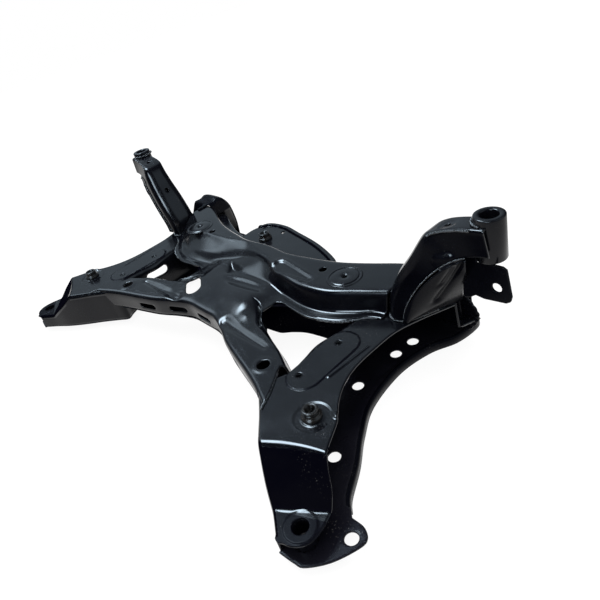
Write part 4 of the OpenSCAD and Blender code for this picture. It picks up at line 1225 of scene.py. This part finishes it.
floor_white, tree = new_material("floor_white")
matt = tree.nodes["Principled BSDF"]
matt.inputs["Base Color"].default_value = (0.14, 0.14, 0.14, 1.0)
matt.inputs["Roughness"].default_value = 1.0
matt.inputs["Specular IOR Level"].default_value = 0.0
glow = tree.nodes.new("ShaderNodeEmission")
link(tree, span(tree, white_for_view(tree), "Value", 0.0, 1.0, 0.25, 0.92), "Result", glow, "Strength")
both = tree.nodes.new("ShaderNodeAddShader")
link(tree, matt, 0, both, 0)
link(tree, glow, 0, both, 1)
link(tree, both, 0, tree.nodes["Material Output"], "Surface")
corners = [(sx * FLOOR, sy * FLOOR, FLOOR_Z) for sx, sy in ((-1, -1), (1, -1), (1, 1), (-1, 1))]
floor = add("floor", new_mesh("floor", corners, [(0, 1, 2, 3)], floor_white))
print("floor and background are white")

# %% Reflection tent
TENT, TENT_DARK, TENT_TONE = 4.0, 0.012, (0.80, 0.98, 1.13, 1.0)
PANELS = [  # direction, reach and bright core in degrees, brightness
    ((-0.42, -0.10, 0.90), 16, 6, 22.0), ((-0.71, -0.16, 0.69), 15, 3, 2.4),
    ((-0.72, 0.42, 0.55), 42, 18, 0.40), ((0.79, 0.34, 0.55), 40, 15, 0.55),
    ((0.25, -0.75, 0.61), 19, 6, 14.0), ((-0.84, -0.40, 0.37), 30, 8, 0.30)]
cloth, tree = new_material("tent_cloth")
coord = tree.nodes.new("ShaderNodeTexCoord")
level = tree.nodes.new("ShaderNodeMath")
level.inputs[0].default_value, level.inputs[1].default_value = TENT_DARK, 0.0
for axis, reach, core, bright in PANELS:
    dot = tree.nodes.new("ShaderNodeVectorMath")
    dot.operation = "DOT_PRODUCT"
    link(tree, coord, "Object", dot, 0)
    dot.inputs[1].default_value = tuple(unit(np.array(axis)) / TENT)
    soft = span(tree, dot, "Value", math.cos(math.radians(reach)), math.cos(math.radians(core)), 0.0, bright)
    soft.interpolation_type = "SMOOTHSTEP"
    level = combine(tree, "ADD", level, "Value", soft, "Result")
glow = tree.nodes.new("ShaderNodeEmission")
glow.inputs["Color"].default_value = TENT_TONE
link(tree, level, "Value", glow, "Strength")
link(tree, glow, 0, tree.nodes["Material Output"], "Surface")
az, el = np.meshgrid(np.linspace(0, 2 * math.pi, 65), np.radians(np.linspace(-2, 90, 33)), indexing="ij")
dome = row(np.cos(az) * np.cos(el), np.sin(az) * np.cos(el), np.sin(el)) * TENT
tent = add("tent", new_mesh("tent", *grid_patch(dome), cloth))
for flag in ("camera", "diffuse", "shadow", "transmission", "volume_scatter"):
    setattr(tent, "visible_" + flag, False)
print("tent panels:", len(PANELS))

# %% Soft lamp and camera
lamp = bpy.data.lights.new("overhead", "AREA")
lamp.size = 2.6
lamp.energy = 55.0
overhead = add("overhead", lamp)
overhead.location = (-0.5, 0.5, 2.4)
overhead.rotation_euler = (math.radians(-12), math.radians(-12), 0)
overhead.visible_glossy = False

EYE = (0.767, -0.348, 0.559)
right, up, back = (0.6533, 0.7160, -0.2460), (-0.2744, 0.5267, 0.8045), (0.7056, -0.4581, 0.5406)
camera = add("camera", bpy.data.cameras.new("camera"))
camera.data.sensor_width = 36.0
camera.data.lens = 32.4
camera.matrix_world = Matrix.Translation(EYE) @ Matrix((right, up, back)).transposed().to_4x4()
bpy.context.scene.camera = camera
bpy.context.scene.view_settings.view_transform = "Standard"
print("camera at", tuple(round(v, 3) for v in camera.location))
